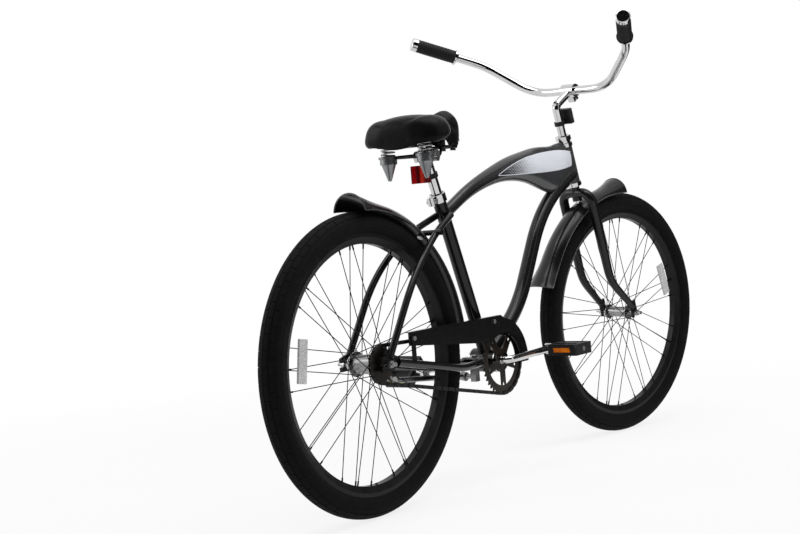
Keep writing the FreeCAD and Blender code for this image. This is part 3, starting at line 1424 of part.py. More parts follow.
def make_crank():
    right, left = crank_eye(-1), crank_eye(1)
    points = [left, crank_point(0, size.crank_left_knee), crank_point(0, -size.crank_right_knee), right]
    arm = bent_rod(points, [size.crank_bend, size.crank_bend], size.crank_radius)
    reach = LEFT * size.crank_eye_half
    spindle = rod(bb_at - LEFT * (size.chain_line + size.chainring_thickness),
                  bb_at + LEFT * (size.bb_shell_half + size.bb_cup_lip), size.spindle_radius)
    crank = arm.fuse([spindle, rod(right - reach, right + reach, size.crank_eye_radius),
                      rod(left - reach, left + reach, size.crank_eye_radius)])
    for eye in (right, left):
        crank = crank.cut(rod(eye - reach, eye + reach, size.pedal_spindle_radius))
    keep("crank", shaped("crank", biggest(crank)))

    lip = size.bb_shell_half + size.bb_cup_lip
    pieces = []
    for way in (1, -1):
        outer = LEFT * (lip * way)
        inner = LEFT * ((lip - size.crank_cone_width) * way)
        pieces.append(ring(bb_at + inner, bb_at + outer, size.crank_cone_radius, size.spindle_radius))
        eye = crank_eye(way)
        start = eye - LEFT * (size.crank_eye_half * way)
        end = eye + LEFT * ((size.crank_eye_half + size.pedal_start / 2 + size.pedal_width) * way)
        collar = eye + LEFT * (size.crank_eye_half * way)
        stop = collar + LEFT * (size.pedal_start / 2 - size.rest_gap) * way
        pieces.append(rod(start, end, size.pedal_spindle_radius)
                      .fuse(rod(collar, stop, size.pedal_barrel - size.crank_eye_half / 4)))
    keep("pedal_spindles", shaped("pedal_spindles", Part.makeCompound(pieces)))


def pedal_shape():
    """Platform pedal about its spindle, which runs along Y from the origin."""
    half_length = size.pedal_length / 2
    half_height = size.pedal_height / 2
    body = slab(Vector(-half_length, 0, -half_height), Vector(half_length, size.pedal_width, half_height))
    body = body.makeFillet(size.pedal_wall / 2, [edge for edge in body.Edges
                                                 if abs(edge.tangentAt(edge.FirstParameter).z) > 0.5])
    for way in (1, -1):
        window = slab(Vector(way * size.pedal_barrel, size.pedal_end_wall, -size.pedal_height),
                      Vector(way * (half_length - size.pedal_wall), size.pedal_width - size.pedal_end_wall,
                             size.pedal_height))
        body = body.cut(window)
    body = body.cut(rod(Vector(), LEFT * size.pedal_width, size.pedal_spindle_radius + size.running_gap))
    lenses = []
    for way in (1, -1):
        start = (size.pedal_width - size.pedal_reflector_length) / 2
        lens = slab(Vector(way * (half_length - size.pedal_reflector_depth), start, -size.pedal_reflector_height / 2),
                    Vector(way * half_length, start + size.pedal_reflector_length, size.pedal_reflector_height / 2))
        body = body.cut(lens)
        lenses.append(lens)
    return Part.makeCompound([body] + lenses)


def make_pedals():
    start = size.crank_eye_half + size.pedal_start / 2
    left = crank_eye(1) + LEFT * start
    right = crank_eye(-1) - LEFT * start
    keep("left_pedal", shaped("left_pedal", pedal_shape()),
         Placement(left, Rotation(LEFT, -size.left_pedal_pitch)))
    keep("right_pedal", shaped("right_pedal", pedal_shape()), Placement(right, Rotation(UP, 180)))


def stand_axis():
    return Vector(*STAND_FOLDED_SHARES).cross(Vector(*STAND_DOWN_SHARES)).normalize()


def stand_pivot():
    """Middle of the kickstand's boss, clear of the block beside it."""
    lean = math.sqrt(1 - stand_axis().dot(LEFT) ** 2)
    aside = size.stand_block_half + size.rest_gap + size.stand_boss_half + size.stand_boss_radius * lean
    return stand_block_corner() + Vector(0, aside, -size.stand_pivot_drop)


def stand_block_corner():
    """Underside of the chain stays, where the kickstand's block is clamped."""
    root, knee, _ = chain_stay_points()
    share = size.stand_back / (root.x - knee.x)
    height = root.z + (knee.z - root.z) * share
    return Vector(root.x - size.stand_back, 0, height - size.chain_stay_radius)


def make_kickstand():
    under = stand_block_corner()
    half = size.stand_plate_length / 2
    top = under + UP * (2 * size.chain_stay_radius + size.rest_gap)
    plate = slab(top + Vector(-half, -size.stand_plate_half, 0),
                 top + Vector(half, size.stand_plate_half, size.stand_plate_height))
    clamp = slab(under + Vector(-half, -size.stand_block_half, -size.stand_plate_height),
                 under + Vector(half, size.stand_block_half, -size.rest_gap))
    neck = slab(under + Vector(-size.stand_neck_half, -size.stand_neck_half, -size.stand_block_height),
                under + Vector(size.stand_neck_half, size.stand_neck_half, -size.rest_gap))
    pin_level = under - UP * size.stand_pivot_drop
    cross = rod(pin_level, pin_level + LEFT * size.stand_block_half, size.stand_cross_radius)
    clamp = clamp.fuse([neck, cross])
    shank = rod(under - UP * size.stand_block_height / 2, top + UP * size.stand_plate_height, size.stand_bolt_radius)
    stays = chain_stay_points()
    for side in (1, -1):
        core = bent_rod([Vector(p.x, p.y * side, p.z) for p in stays], [size.chain_stay_bend], size.chain_stay_radius)
        clamp = clamp.cut(core)
        plate = plate.cut(core)
    pieces = [biggest(plate.cut(shank)), biggest(clamp.cut(shank))]
    keep("kickstand_bracket", shaped("kickstand_bracket", Part.makeCompound(pieces)))
    bolt = shank.fuse(hexagon(top + UP * size.stand_plate_height,
                              top + UP * (size.stand_plate_height + size.stand_bolt_radius),
                              3 * size.stand_bolt_radius))

    pivot = stand_pivot()
    folded = Vector(*STAND_FOLDED_SHARES).normalize()
    reach = stand_axis() * size.stand_boss_half
    boss = rod(pivot - reach, pivot + reach, size.stand_boss_radius)
    leg = rod(pivot, pivot + folded * size.stand_leg_length, size.stand_leg_radius)
    tip = pivot + folded * size.stand_leg_length
    foot = rod(tip, tip + folded * size.stand_leg_radius, size.stand_leg_radius * 1.25)
    keep("kickstand_leg", shaped("kickstand_leg", boss.fuse([leg, foot])))
    return bolt


def make_seat_post():
    clamp = saddle_clamp_middle()
    top = seat_point(size.seat_post_top)
    foot = seat_point(size.seat_post_foot)
    reach = LEFT * size.saddle_clamp_half
    barrel = rod(clamp - reach, clamp + reach, size.saddle_clamp_radius)
    post = rod(foot, top, size.seat_post_radius).cut(barrel)
    keep("seat_post", shaped("seat_post", biggest(post)))
    rails = make_rails()
    groove = AHEAD * 2 * size.saddle_clamp_radius
    for side in (size.rail_half, -size.rail_half):
        middle = clamp + LEFT * side
        barrel = barrel.cut(rod(middle - groove, middle + groove, size.rail_radius))
    low = clamp - UP * size.saddle_bolt_drop
    beyond = reach + LEFT * size.small_head_height
    shank = rod(low - beyond, low + beyond, size.saddle_clamp_bolt)
    nuts = [rod(low + reach * way, low + beyond * way, size.small_head_radius) for way in (1, -1)]
    barrel = biggest(barrel.cut(shank))
    keep("saddle_clamp", shaped("saddle_clamp", Part.makeCompound([barrel, shank.fuse(nuts)])))
    return rails


def saddle_nose_x():
    return seat_point(size.seat_post_top).x - size.saddle_back + size.saddle_length


def spring_x():
    return seat_point(size.seat_post_top).x - size.spring_back


def saddle_clamp_middle():
    top = seat_point(size.seat_post_top)
    return Vector(top.x, 0, size.rail_level)


def make_rails():
    """Two wire rails from the nose pin, stepped down to the clamp and out to the spring cups."""
    clamp = saddle_clamp_middle()
    nose = saddle_nose_x() - size.nose_pin_back
    step = saddle_nose_x() - size.rail_step_back
    drop = size.rail_front_level - size.rail_level
    rails = []
    for side in (1, -1):
        points = [Vector(nose, side * size.rail_half, size.rail_front_level),
                  Vector(step, side * size.rail_half, size.rail_front_level),
                  Vector(step - drop / 2, side * size.rail_half, size.rail_level),
                  Vector(clamp.x - size.saddle_clamp_radius - size.rail_bend, side * size.rail_half, size.rail_level),
                  Vector(spring_x() + size.cup_lip_radius - size.cup_lip_height, side * size.spring_side,
                         size.rail_level)]
        rails.append(bent_rod(points, [size.rail_bend] * 3, size.rail_radius))
    return rails


def cup_profile():
    """Lip, barrel and tapered snub below one saddle spring, from the spring's foot downwards."""
    lip = "-cup_lip_height"
    barrel = "-cup_lip_height - cup_barrel_height"
    tip = "-cup_lip_height - cup_barrel_height - cone_height"
    return [("0", "0"), ("cup_lip_radius", "0"), ("cup_lip_radius", lip), ("cup_barrel_radius", lip),
            ("cup_barrel_radius", barrel), ("cone_top_radius", barrel), ("cone_tip_radius", tip), ("0", tip)]


def spring_top():
    return size.saddle_under - size.rest_gap - size.pan_thickness - size.rest_gap


def make_springs():
    """Two open coils of round wire: each turn is four quarter arcs that climb at a steady rate."""
    foot = size.spring_foot + size.spring_wire + size.rest_gap
    rise = spring_top() - size.spring_wire - foot
    quarters = int(size.spring_turns * 4)
    climb = rise / quarters
    coils = []
    least = []
    for side in (1, -1):
        centre = Vector(spring_x(), side * size.spring_side, foot)

        def at(quarter):
            angle = quarter * math.pi / 2
            return centre + Vector(size.spring_radius * math.cos(angle), size.spring_radius * math.sin(angle),
                                   climb * quarter)

        edges = []
        for quarter in range(quarters):
            edges.append(Part.Arc(at(quarter), at(quarter + 0.5), at(quarter + 1)).toShape())
        lead_in = (edges[0].tangentAt(edges[0].FirstParameter)) * (2 * size.spring_wire)
        lead_out = (edges[-1].tangentAt(edges[-1].LastParameter)) * (2 * size.spring_wire)
        first, last = at(0), at(quarters)
        edges.insert(0, Part.LineSegment(first - lead_in, first).toShape())
        edges.append(Part.LineSegment(last, last + lead_out).toShape())
        path = Part.Wire(edges)
        start = first - lead_in
        profile = Part.Wire(Part.makeCircle(size.spring_wire, start, lead_in))
        coils.append(path.makePipeShell([profile], True, False))
        samples = [at(step / 12) for step in range(quarters * 12 + 1)]
        gaps = [(samples[i] - samples[j]).Length - 2 * size.spring_wire
                for i in range(len(samples)) for j in range(i + 24, len(samples))]
        least.append(min(gaps))
    print("least gap between spring turns", round(min(least), 2))
    keep("saddle_springs", shaped("saddle_springs", Part.makeCompound(coils)))


def make_saddle_frame(rails):
    cups = []
    for name, side in (("left_spring_cup", 1), ("right_spring_cup", -1)):
        cup = turned(name, cup_profile())
        cup.Placement = Placement(Vector(spring_x(), side * size.spring_side, size.spring_foot),
                                  Rotation(AHEAD, 90))
        cups.append(cup)
    keep("spring_cups", group("spring_cups", cups))
    doc.recompute()
    cup_cores = Part.makeCompound([cup.Shape for cup in cups])
    pin_middle = Vector(saddle_nose_x() - size.nose_pin_back, 0, size.rail_front_level)
    reach = LEFT * size.nose_pin_half
    pin = rod(pin_middle - reach, pin_middle + reach, size.nose_pin_radius)
    cross = rod(Vector(spring_x(), -size.spring_side, size.rail_level), Vector(spring_x(), size.spring_side,
                                                                            size.rail_level), size.rail_radius)
    pieces = [biggest(rail.cut(cup_cores).cut(pin)) for rail in rails]
    pieces += [biggest(cross.cut(cup_cores)), pin]
    keep("saddle_rails", shaped("saddle_rails", Part.makeCompound(pieces)))
    return pin_middle


def saddle_section(index):
    """One closed slice across the cushion: crowned top, drawn-in sides, open well below."""
    x = saddle_nose_x() - size.saddle_length * (1 - SADDLE_STATION_SHARES[index])
    half = size.saddle_half_width * SADDLE_WIDTH_SHARES[index]
    under = size.saddle_under
    top = under + size.saddle_crown * SADDLE_TOP_SHARES[index] + size.saddle_nose_lift * SADDLE_NOSE_SHARES[index]
    low = under - size.saddle_skirt * SADDLE_SKIRT_SHARES[index]
    waist = low + (top - low) * SHOULDER_SHARE
    rim = half * CUSHION_RIM_SHARE
    well = half * CUSHION_WELL_SHARE
    crown = half * CROWN_SHARE
    crown_z = top - (top - waist) * (1 - math.sqrt(1 - CROWN_SHARE ** 2))

    def at(side, height):
        return Vector(x, side, height)

    def bowed(start, end, bulge):
        middle = (start + end) * 0.5
        return Part.Arc(start, middle + bulge, end).toShape()

    depth = top - low
    out = half - rim
    right = [bowed(at(rim, low), at(half, waist), Vector(0, out * SHOULDER_SHARE, -out * SHOULDER_SHARE)),
             bowed(at(half, waist), at(crown, crown_z), Vector(0, out * CROWN_SHARE, depth * CROWN_SHARE / 4))]
    top_arc = Part.Arc(at(crown, crown_z), at(0, top), at(-crown, crown_z)).toShape()
    left = [bowed(at(-crown, crown_z), at(-half, waist), Vector(0, -out * CROWN_SHARE, depth * CROWN_SHARE / 4)),
            bowed(at(-half, waist), at(-rim, low), Vector(0, -out * SHOULDER_SHARE, -out * SHOULDER_SHARE))]
    floor = [Part.LineSegment(at(-rim, low), at(-well, under)).toShape(),
             Part.LineSegment(at(-well, under), at(well, under)).toShape(),
             Part.LineSegment(at(well, under), at(rim, low)).toShape()]
    return Part.Wire(right + [top_arc] + left + floor)


def pan_outline():
    points = []
    for station, width in zip(SADDLE_STATION_SHARES[1:-1], SADDLE_WIDTH_SHARES[1:-1]):
        points.append((saddle_nose_x() - size.saddle_length * (1 - station),
                       size.saddle_half_width * width * PAN_SHARE))
    return points


def make_saddle(pin_middle):
    sections = [saddle_section(index) for index in range(len(SADDLE_STATION_SHARES))]
    cushion = Part.makeLoft(sections, True, False)
    keep("saddle_cushion", shaped("saddle_cushion", cushion))

    level = size.saddle_under - size.rest_gap
    points = pan_outline()
    right = [Vector(x, half, level) for x, half in points]
    left = [Vector(x, -half, level) for x, half in reversed(points)]
    pan = Part.Face(Part.makePolygon(right + left + [right[0]])).extrude(-UP * size.pan_thickness)
    lugs = []
    bottom = level - size.pan_thickness
    for way in (1, -1):
        near = size.rail_half - size.rail_radius - size.rest_gap
        lug = slab(Vector(pin_middle.x - size.nose_lug_half, way * (near - size.pan_thickness), pin_middle.z
                          - size.nose_lug_half), Vector(pin_middle.x + size.nose_lug_half, way * near, bottom))
        lugs.append(lug)
    pan = pan.fuse(lugs).cut(rod(pin_middle - LEFT * size.nose_pin_half, pin_middle + LEFT * size.nose_pin_half,
                                 size.nose_pin_radius + size.running_gap))
    keep("saddle_pan", shaped("saddle_pan", biggest(pan)))


def make_bolts(pieces):
    keep("frame_bolts", shaped("frame_bolts", Part.makeCompound(pieces)))


def make_front_fender_bolt():
    """Flanged spacer from the foot of the steerer down to the front fender."""
    radius = size.fender_bolt_radius + size.fender_wall
    crown = math.sqrt(fender_crown_radius ** 2 - size.fork_rake ** 2)
    low = crown + radius * size.fork_rake / crown + size.rest_gap
    high = size.fork_length - 2 * size.crown_drop
    flange = rod(head_point(high - 2 * size.fender_wall), head_point(high), size.steerer_radius)
    return flange.fuse(rod(head_point(low), head_point(high), radius))


make_head_tube()
make_bottom_bracket_shell()
make_seat_tube()
make_top_tube()
make_down_tube()
dropout_plates = make_dropouts()
make_stays(dropout_plates)
make_fenders()
head_cups, head_bearings = make_headset()
make_bottom_bracket(head_cups, head_bearings)
make_fork()
stem_bolts = make_stem()
stem_bolts.append(make_front_fender_bolt())
keep("stem_bolts", shaped("stem_bolts", Part.makeCompound(stem_bolts)), steered)
make_handlebar()
make_front_reflector()
make_rear_reflector()
make_wheels()
make_axles()
fasteners = [make_brake_arm(), make_seat_clamp()]
fasteners.append(make_rear_fender_bolt())
fasteners += make_chain_guard()
make_chain_wheels()
make_chain()
make_crank()
make_pedals()
fasteners.append(make_kickstand())
make_bolts(fasteners)
seat_rails = make_seat_post()
make_springs()
nose_pin = make_saddle_frame(seat_rails)
make_saddle(nose_pin)

doc.recompute()
failed = [item.Name for item in doc.Objects if "Invalid" in item.State or "Error" in item.State]
if failed:
    raise RuntimeError("objects that failed: " + ", ".join(failed))

os.makedirs("parts", exist_ok=True)
for label, (thing, place) in nodes.items():
    thing.Placement = place * thing.Placement
    shape = thing.Shape
    if shape.isNull() or not shape.isValid():
        raise RuntimeError("bad shape: " + label)
for label, (thing, place) in nodes.items():
    thing.Shape.exportStep(f"parts/{label}.step")
print(len(nodes), "parts written")
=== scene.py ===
"""Looks of a beach cruiser bicycle: finishes, tyres, saddle, springs, grips and a white studio."""
import json
import math

import bmesh
import bpy
import numpy
from mathutils import Matrix, Vector


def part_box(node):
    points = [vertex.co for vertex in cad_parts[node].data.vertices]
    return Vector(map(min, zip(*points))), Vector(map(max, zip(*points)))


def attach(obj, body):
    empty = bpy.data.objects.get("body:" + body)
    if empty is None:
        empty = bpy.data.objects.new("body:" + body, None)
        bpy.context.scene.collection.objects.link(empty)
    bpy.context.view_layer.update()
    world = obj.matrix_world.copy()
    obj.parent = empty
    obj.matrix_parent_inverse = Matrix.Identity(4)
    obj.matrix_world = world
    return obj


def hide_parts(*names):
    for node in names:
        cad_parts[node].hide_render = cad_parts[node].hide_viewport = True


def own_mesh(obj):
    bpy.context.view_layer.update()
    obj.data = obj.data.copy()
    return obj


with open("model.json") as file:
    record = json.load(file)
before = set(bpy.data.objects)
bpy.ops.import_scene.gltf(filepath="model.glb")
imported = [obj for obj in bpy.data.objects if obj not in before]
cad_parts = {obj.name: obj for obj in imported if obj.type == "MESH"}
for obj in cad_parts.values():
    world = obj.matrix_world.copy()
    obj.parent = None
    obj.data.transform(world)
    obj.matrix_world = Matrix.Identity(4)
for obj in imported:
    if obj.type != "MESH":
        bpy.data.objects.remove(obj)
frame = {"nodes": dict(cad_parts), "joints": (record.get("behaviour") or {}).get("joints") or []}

MM = 0.001
MERGE_WITHIN = 0.005 * MM
nodes = frame["nodes"]
joints = {joint["name"]: joint for joint in frame["joints"]}
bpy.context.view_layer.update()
scene = bpy.context.scene
scene.view_settings.view_transform = "Standard"

# Camera, found from both wheels' outlines in the photograph
PHOTO_WIDTH = 800
FOCAL_PIXELS = 1402.838
SENSOR_WIDTH = 36.0
CAMERA_AT = Vector((-2.36234, -1.91520, 0.65434))
CAMERA_AZIMUTH = math.radians(-52.6193)
CAMERA_ELEVATION = math.radians(2.1685)
CAMERA_ROLL = math.radians(-4.4218)

# Tank flash, in the frame's side view
FLASH_TAIL = 0.548
FLASH_HEAD = 0.908
FLASH_BASE = 0.70
FLASH_SPAN = 0.12
FLASH_UPPER = (0.732, 0.7545, 0.7705, 0.7805, 0.7865, 0.7895, 0.786)
FLASH_LOWER = (0.728, 0.7285, 0.7295, 0.731, 0.7335, 0.738, 0.7465)
FLASH_DOT = 5.2 * MM
FLASH_EDGE = 0.5 * MM
FLASH_LINE = (2.2 * MM, 1.8 * MM)
FLASH_SILVER = (0.74, 0.76, 0.82, 1)
DOT_SHARES = (0.05, 0.55)
DOT_SIZES = (0.12, 0.78)
DOT_EDGE = 0.06
TANK_FROM = 0.44
TANK_TO = 0.72
TANK_CHARCOAL = (0.045, 0.046, 0.048, 1)

# Grain of the finishes: scale of the pattern, strength and depth of its relief
PATCH_GRAINS = 9
PATCH_SHARE = 0.6
FINE_SHARE = 0.4
TONE_STOPS = (0.35, 0.65)
FINE_RELIEF = 0.2 * MM
PEBBLE = (720.0, 0.28, 0.5 * MM)
PRISM = (320.0, 0.9, 1.5 * MM)
STREAK = (1.0, 0.12, 0.1 * MM)

# Tyre sizes
SECTION_RADIUS = 27 * MM
TREAD_RADIUS = 333.35 * MM
TREAD_DEPTH = 1.3 * MM
TREAD_EDGE = 56
TREAD_BLOCKS = 62
TREAD_ROWS = 4
TREAD_ROW_ANGLE = 27.5
TREAD_GAP = 1.7 * MM
TREAD_SINK = 0.8 * MM
TREAD_SHOULDER = 5
SIDEWALL_SINK = 0.7 * MM
SIDEWALL_RIBS = (74, 92, 110)
RIB_HEIGHT = 0.6 * MM
RIB_HALF_ANGLE = 2.2
BEAD_ANGLE = 146
SECTION_STEP = 2
INNER_EVERY = 6
TYRE_WALL = 3 * MM
TYRE_STEPS = 176

# Saddle sizes
SADDLE_VOXEL = 4.5 * MM
SADDLE_SHRINK = 3.5 * MM
SADDLE_SWELL = 7 * MM
SWELL_PRESSURE = 4
SWELL_STIFFNESS = 25
SWELL_FRAMES = 20
SWELL_HELD = 5 * MM
UNDERSIDE = -0.4
EVEN_FACTOR = 0.5
EVEN_ROUNDS = 8
SKIRT_LEVELS = (0.818, 0.810, 0.804, 0.802, 0.801, 0.798, 0.795, 0.793)
SKIRT_TOP = 0.834
SKIRT_OUTER = ((0.2065, 0.104), (0.183, 0.0985), (0.168, 0.083), (0.1635, 0.070),
               (0.1595, 0.055), (0.158, 0.038), (0.1574, 0.026), (0.157, 0.0))
SKIRT_INNER = ((0.2085, 0.090), (0.189, 0.0855), (0.178, 0.072), (0.1745, 0.061),
               (0.172, 0.050), (0.1712, 0.036), (0.1708, 0.025), (0.1705, 0.0))
BELLY_LOW = Vector((0.163, -0.029, 0.799))
BELLY_HIGH = Vector((0.236, 0.029, 0.834))
NOSE_FROM = 0.306
NOSE_RAMP = 14 * MM
NOSE_TIP = 0.392
NOSE_FADE = 0.6
NOSE_WELL = 21 * MM
NOSE_WALL = 5 * MM
NOSE_LEVEL = 0.83
NOSE_DROOP = 34 * MM
CREASES = (0.303, 0.326)
CREASE_DEPTH = 3.2 * MM
CREASE_WIDTH = 5 * MM
CREASE_SWEEP = 0.3
CREASE_LOWEST = -0.2

# Pedals, measured from the middle of the crank's eye
PEDAL_LENS_OUT = 57.5 * MM
PEDAL_LENS_REACH = 38.2 * MM
PEDAL_LENS = (3 * MM, 46 * MM, 11 * MM)
PEDAL_RIDGES = 9
PEDAL_RIDGE_TURN = math.radians(14)
LEFT_PEDAL_PITCH = math.radians(-38)

# Rear reflector, grips and fender beads
REFLECTOR_RIBS = 16
REFLECTOR_RIB = 0.8 * MM
REFLECTOR_EDGE = 5 * MM
REFLECTOR_FALL = 6 * MM
REFLECTOR_FLAT = 0.3
REFLECTOR_HALF = 25 * MM
# Painted highlights and painted shade across the red lens: bright and dark bands for the light its
# facets reflect
LENS_GLINT_BANDS = ((0.0, (0.16, 0.001, 0.003)), (0.2, (0.2, 0.002, 0.004)),
              (0.27, (0.8, 0.035, 0.012)), (0.4, (0.75, 0.028, 0.01)),
              (0.45, (0.14, 0.001, 0.003)), (0.62, (0.16, 0.001, 0.003)),
              (0.7, (0.55, 0.006, 0.01)), (1.0, (0.42, 0.003, 0.006)))
REFLECTOR_SKIN = 0.5 * MM
REFLECTOR_WRAP = 11 * MM
GRIP_RIBS = 13
GRIP_RIB_RADIUS = 1.1 * MM
GRIP_RIB_SINK = 0.3 * MM
GRIP_RIBBED_SHARE = 0.72
GRIP_PERCENTILE = 60
RING_POINTS = 40
BEAD_POINTS = 8
BEAD_RADIUS = 1.5 * MM
FENDER_EDGE = math.radians(55)

# Saddle springs
SPRING_WIRE = 2 * MM
SPRING_TURNS = 5.5
SPRING_STEPS = 40
SPRING_FLAT_TURN = 0.8

# Studio
STUDIO_MIDDLE = Vector((0.55, 0, 0.5))
WHITE = (1, 1, 1, 1)
WORLD_STRENGTH = 0.45
FLOOR_SIZE = 60
FLOOR_COLOUR = (0.86, 0.86, 0.86, 1)
FLOOR_GLOW = 0.82
FLOOR_FADE = (1.0, 3.0)
SOFTBOXES = (
    ("overhead", (0.3, -0.4, 3.0), (2.6, 1.6), 42),
    ("side", (-1.2, 2.6, 1.9), (1.6, 1.6), 24),
    ("front", (2.8, -1.8, 1.8), (1.4, 1.8), 24),
)
CLOTH_COLOUR = (0.01, 0.01, 0.01, 1)
BACK_CLOTH_AWAY = 4.2
BACK_CLOTH_SIZE = 11.0
RIGHT_CLOTH_WAY = Vector((0.79, -0.61, 0))
RIGHT_CLOTH_AWAY = 2.0
RIGHT_CLOTH_SIZE = 3.6


# Node and mesh helpers

def node(tree, kind, inputs=None, **settings):
    """One new node: settings are its own properties, inputs are linked sockets or plain values."""
    made = tree.nodes.new(kind)
    for key, value in settings.items():
        setattr(made, key, value)
    for key, value in (inputs or {}).items():
        if isinstance(value, bpy.types.NodeSocket):
            tree.links.new(value, made.inputs[key])
        else:
            made.inputs[key].default_value = value
    return made


def maths(tree, operation, *values):
    return node(tree, "ShaderNodeMath", dict(enumerate(values)), operation=operation).outputs[0]


def ramp(tree, factor, stops):
    made = node(tree, "ShaderNodeValToRGB", {"Fac": factor})
    elements = made.color_ramp.elements
    while len(elements) < len(stops):
        elements.new(0.5)
    for element, (place, colour) in zip(elements, stops):
        element.position = place
        element.color = (*colour, 1)
    return made.outputs["Color"]


def spread(tree, factor, low, high):
    """A factor of 0 to 1 turned into a range of values."""
    inputs = {"Value": factor, "To Min": low, "To Max": high}
    return node(tree, "ShaderNodeMapRange", inputs).outputs[0]


def share_of(tree, value, start, end):
    """How far a value lies from start to end, held to 0 and 1."""
    inputs = {"Value": value, "From Min": start, "From Max": end}
    return node(tree, "ShaderNodeMapRange", inputs).outputs[0]


def mixed(tree, factor, first, second, **settings):
    """Two colours mixed by a factor."""
    inputs = {"Factor": factor, 6: first, 7: second}
    return node(tree, "ShaderNodeMix", inputs, data_type="RGBA", **settings).outputs[2]


def new_piece(name, mesh, material, body):
    """A finished mesh as a piece that rides on a CAD body."""
    piece = bpy.data.objects.new(name, mesh)
    scene.collection.objects.link(piece)
    mesh.materials.clear()
    mesh.materials.append(material)
    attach(piece, body)
    return piece


def smooth(mesh, angle=35):
    for face in mesh.polygons:
        face.use_smooth = True
    mesh.set_sharp_from_angle(angle=math.radians(angle))


def merged_copy(name, cad_node):
    """A CAD node's mesh with its loose triangles joined."""
    mesh = nodes[cad_node].data.copy()
    mesh.name = name
    work = bmesh.new()
    work.from_mesh(mesh)
    bmesh.ops.remove_doubles(work, verts=work.verts, dist=MERGE_WITHIN)
    work.to_mesh(mesh)
    work.free()
    return mesh


def joined(meshes):
    """One mesh from several."""
    work = bmesh.new()
    for mesh in meshes:
        work.from_mesh(mesh)
        bpy.data.meshes.remove(mesh)
    mesh = bpy.data.meshes.new("joined")
    work.to_mesh(mesh)
    work.free()
    return mesh


def baked(piece):
    """The evaluated mesh of an object with modifiers or a curve; the object is removed."""
    graph = bpy.context.evaluated_depsgraph_get()
    mesh = bpy.data.meshes.new_from_object(piece.evaluated_get(graph))
    bpy.data.objects.remove(piece)
    return mesh


def tube(points, radius):
    """A round tube through the points, as a mesh."""
    curve = bpy.data.curves.new("tube", "CURVE")
    curve.dimensions = "3D"
    curve.bevel_depth = radius
    curve.bevel_resolution = 4
    curve.use_fill_caps = True
    spline = curve.splines.new("POLY")
    spline.points.add(len(points) - 1)
    for point, place in zip(spline.points, points):
        point.co = (*place, 1)
    holder = bpy.data.objects.new("tube", curve)
    scene.collection.objects.link(holder)
    mesh = baked(holder)
    smooth(mesh, 60)
    return mesh


def grown(tree, carrier, values):
    """The mesh that a geometry tree makes on a carrier mesh, with named inputs set."""
    holder = bpy.data.objects.new("carrier", carrier)
    scene.collection.objects.link(holder)
    modifier = holder.modifiers.new("grow", "NODES")
    modifier.node_group = tree
    for item in tree.interface.items_tree:
        if item.name in values:
            modifier[item.identifier] = values[item.name]
    return baked(holder)


def geometry_tree(name, sockets):
    """A new geometry tree with named inputs; returns it with its input and output nodes."""
    tree = bpy.data.node_groups.new(name, "GeometryNodeTree")
    tree.interface.new_socket("Geometry", in_out="INPUT", socket_type="NodeSocketGeometry")
    for label, kind in sockets.items():
        tree.interface.new_socket(label, in_out="INPUT", socket_type=kind)
    tree.interface.new_socket("Geometry", in_out="OUTPUT", socket_type="NodeSocketGeometry")
    return tree, node(tree, "NodeGroupInput"), node(tree, "NodeGroupOutput")


def close_tree(tree, instances, source, ends):
    """Realizes the instances, gives them their material and hands them out."""
    real = node(tree, "GeometryNodeRealizeInstances", {"Geometry": instances})
    painted = node(tree, "GeometryNodeSetMaterial", {"Geometry": real.outputs[0],
                                                     "Material": source.outputs["Material"]})
    tree.links.new(painted.outputs[0], ends.inputs["Geometry"])


# Finishes

def emboss(tree, height, strength, depth, **under):
    """A relief on the material's surface, on top of another if one is given."""
    inputs = {"Height": height, "Strength": strength, "Distance": depth, **under}
    relief = node(tree, "ShaderNodeBump", inputs)
    tree.links.new(relief.outputs[0], tree.nodes["Principled BSDF"].inputs["Normal"])


def finish(name, tones, rough, grain, bump, fixed):
    """A two-tone finish: noise at the grain's scale mixes tones and roughness, with a fine bump."""
    material = bpy.data.materials.new(name)
    material.use_nodes = True
    tree = material.node_tree
    shader = tree.nodes["Principled BSDF"]
    for socket, value in fixed.items():
        shader.inputs[socket].default_value = value
    place = node(tree, "ShaderNodeTexCoord").outputs["Object"]
    patches = node(tree, "ShaderNodeTexNoise", {"Vector": place, "Scale": grain / PATCH_GRAINS,
                                                "Detail": 4.0})
    fine = node(tree, "ShaderNodeTexNoise", {"Vector": place, "Scale": grain, "Detail": 5.0})
    blend = maths(tree, "ADD", maths(tree, "MULTIPLY", patches.outputs["Fac"], PATCH_SHARE),
                  maths(tree, "MULTIPLY", fine.outputs["Fac"], FINE_SHARE))
    tone = ramp(tree, blend, list(zip(TONE_STOPS, tones)))
    tree.links.new(tone, shader.inputs["Base Color"])
    tree.links.new(spread(tree, blend, *rough), shader.inputs["Roughness"])
    emboss(tree, fine.outputs["Fac"], bump, FINE_RELIEF)
    return material


def plain_finish(name, tones, rough, grain, bump, gloss):
    return finish(name, tones, rough, grain, bump, {"Specular IOR Level": gloss})


def metal_finish(name, tones, rough, grain, bump, metallic):
    return finish(name, tones, rough, grain, bump, {"Metallic": metallic})


def grey(value, warm=0.0):
    return (value * (1 + warm), value, value * (1 - warm))


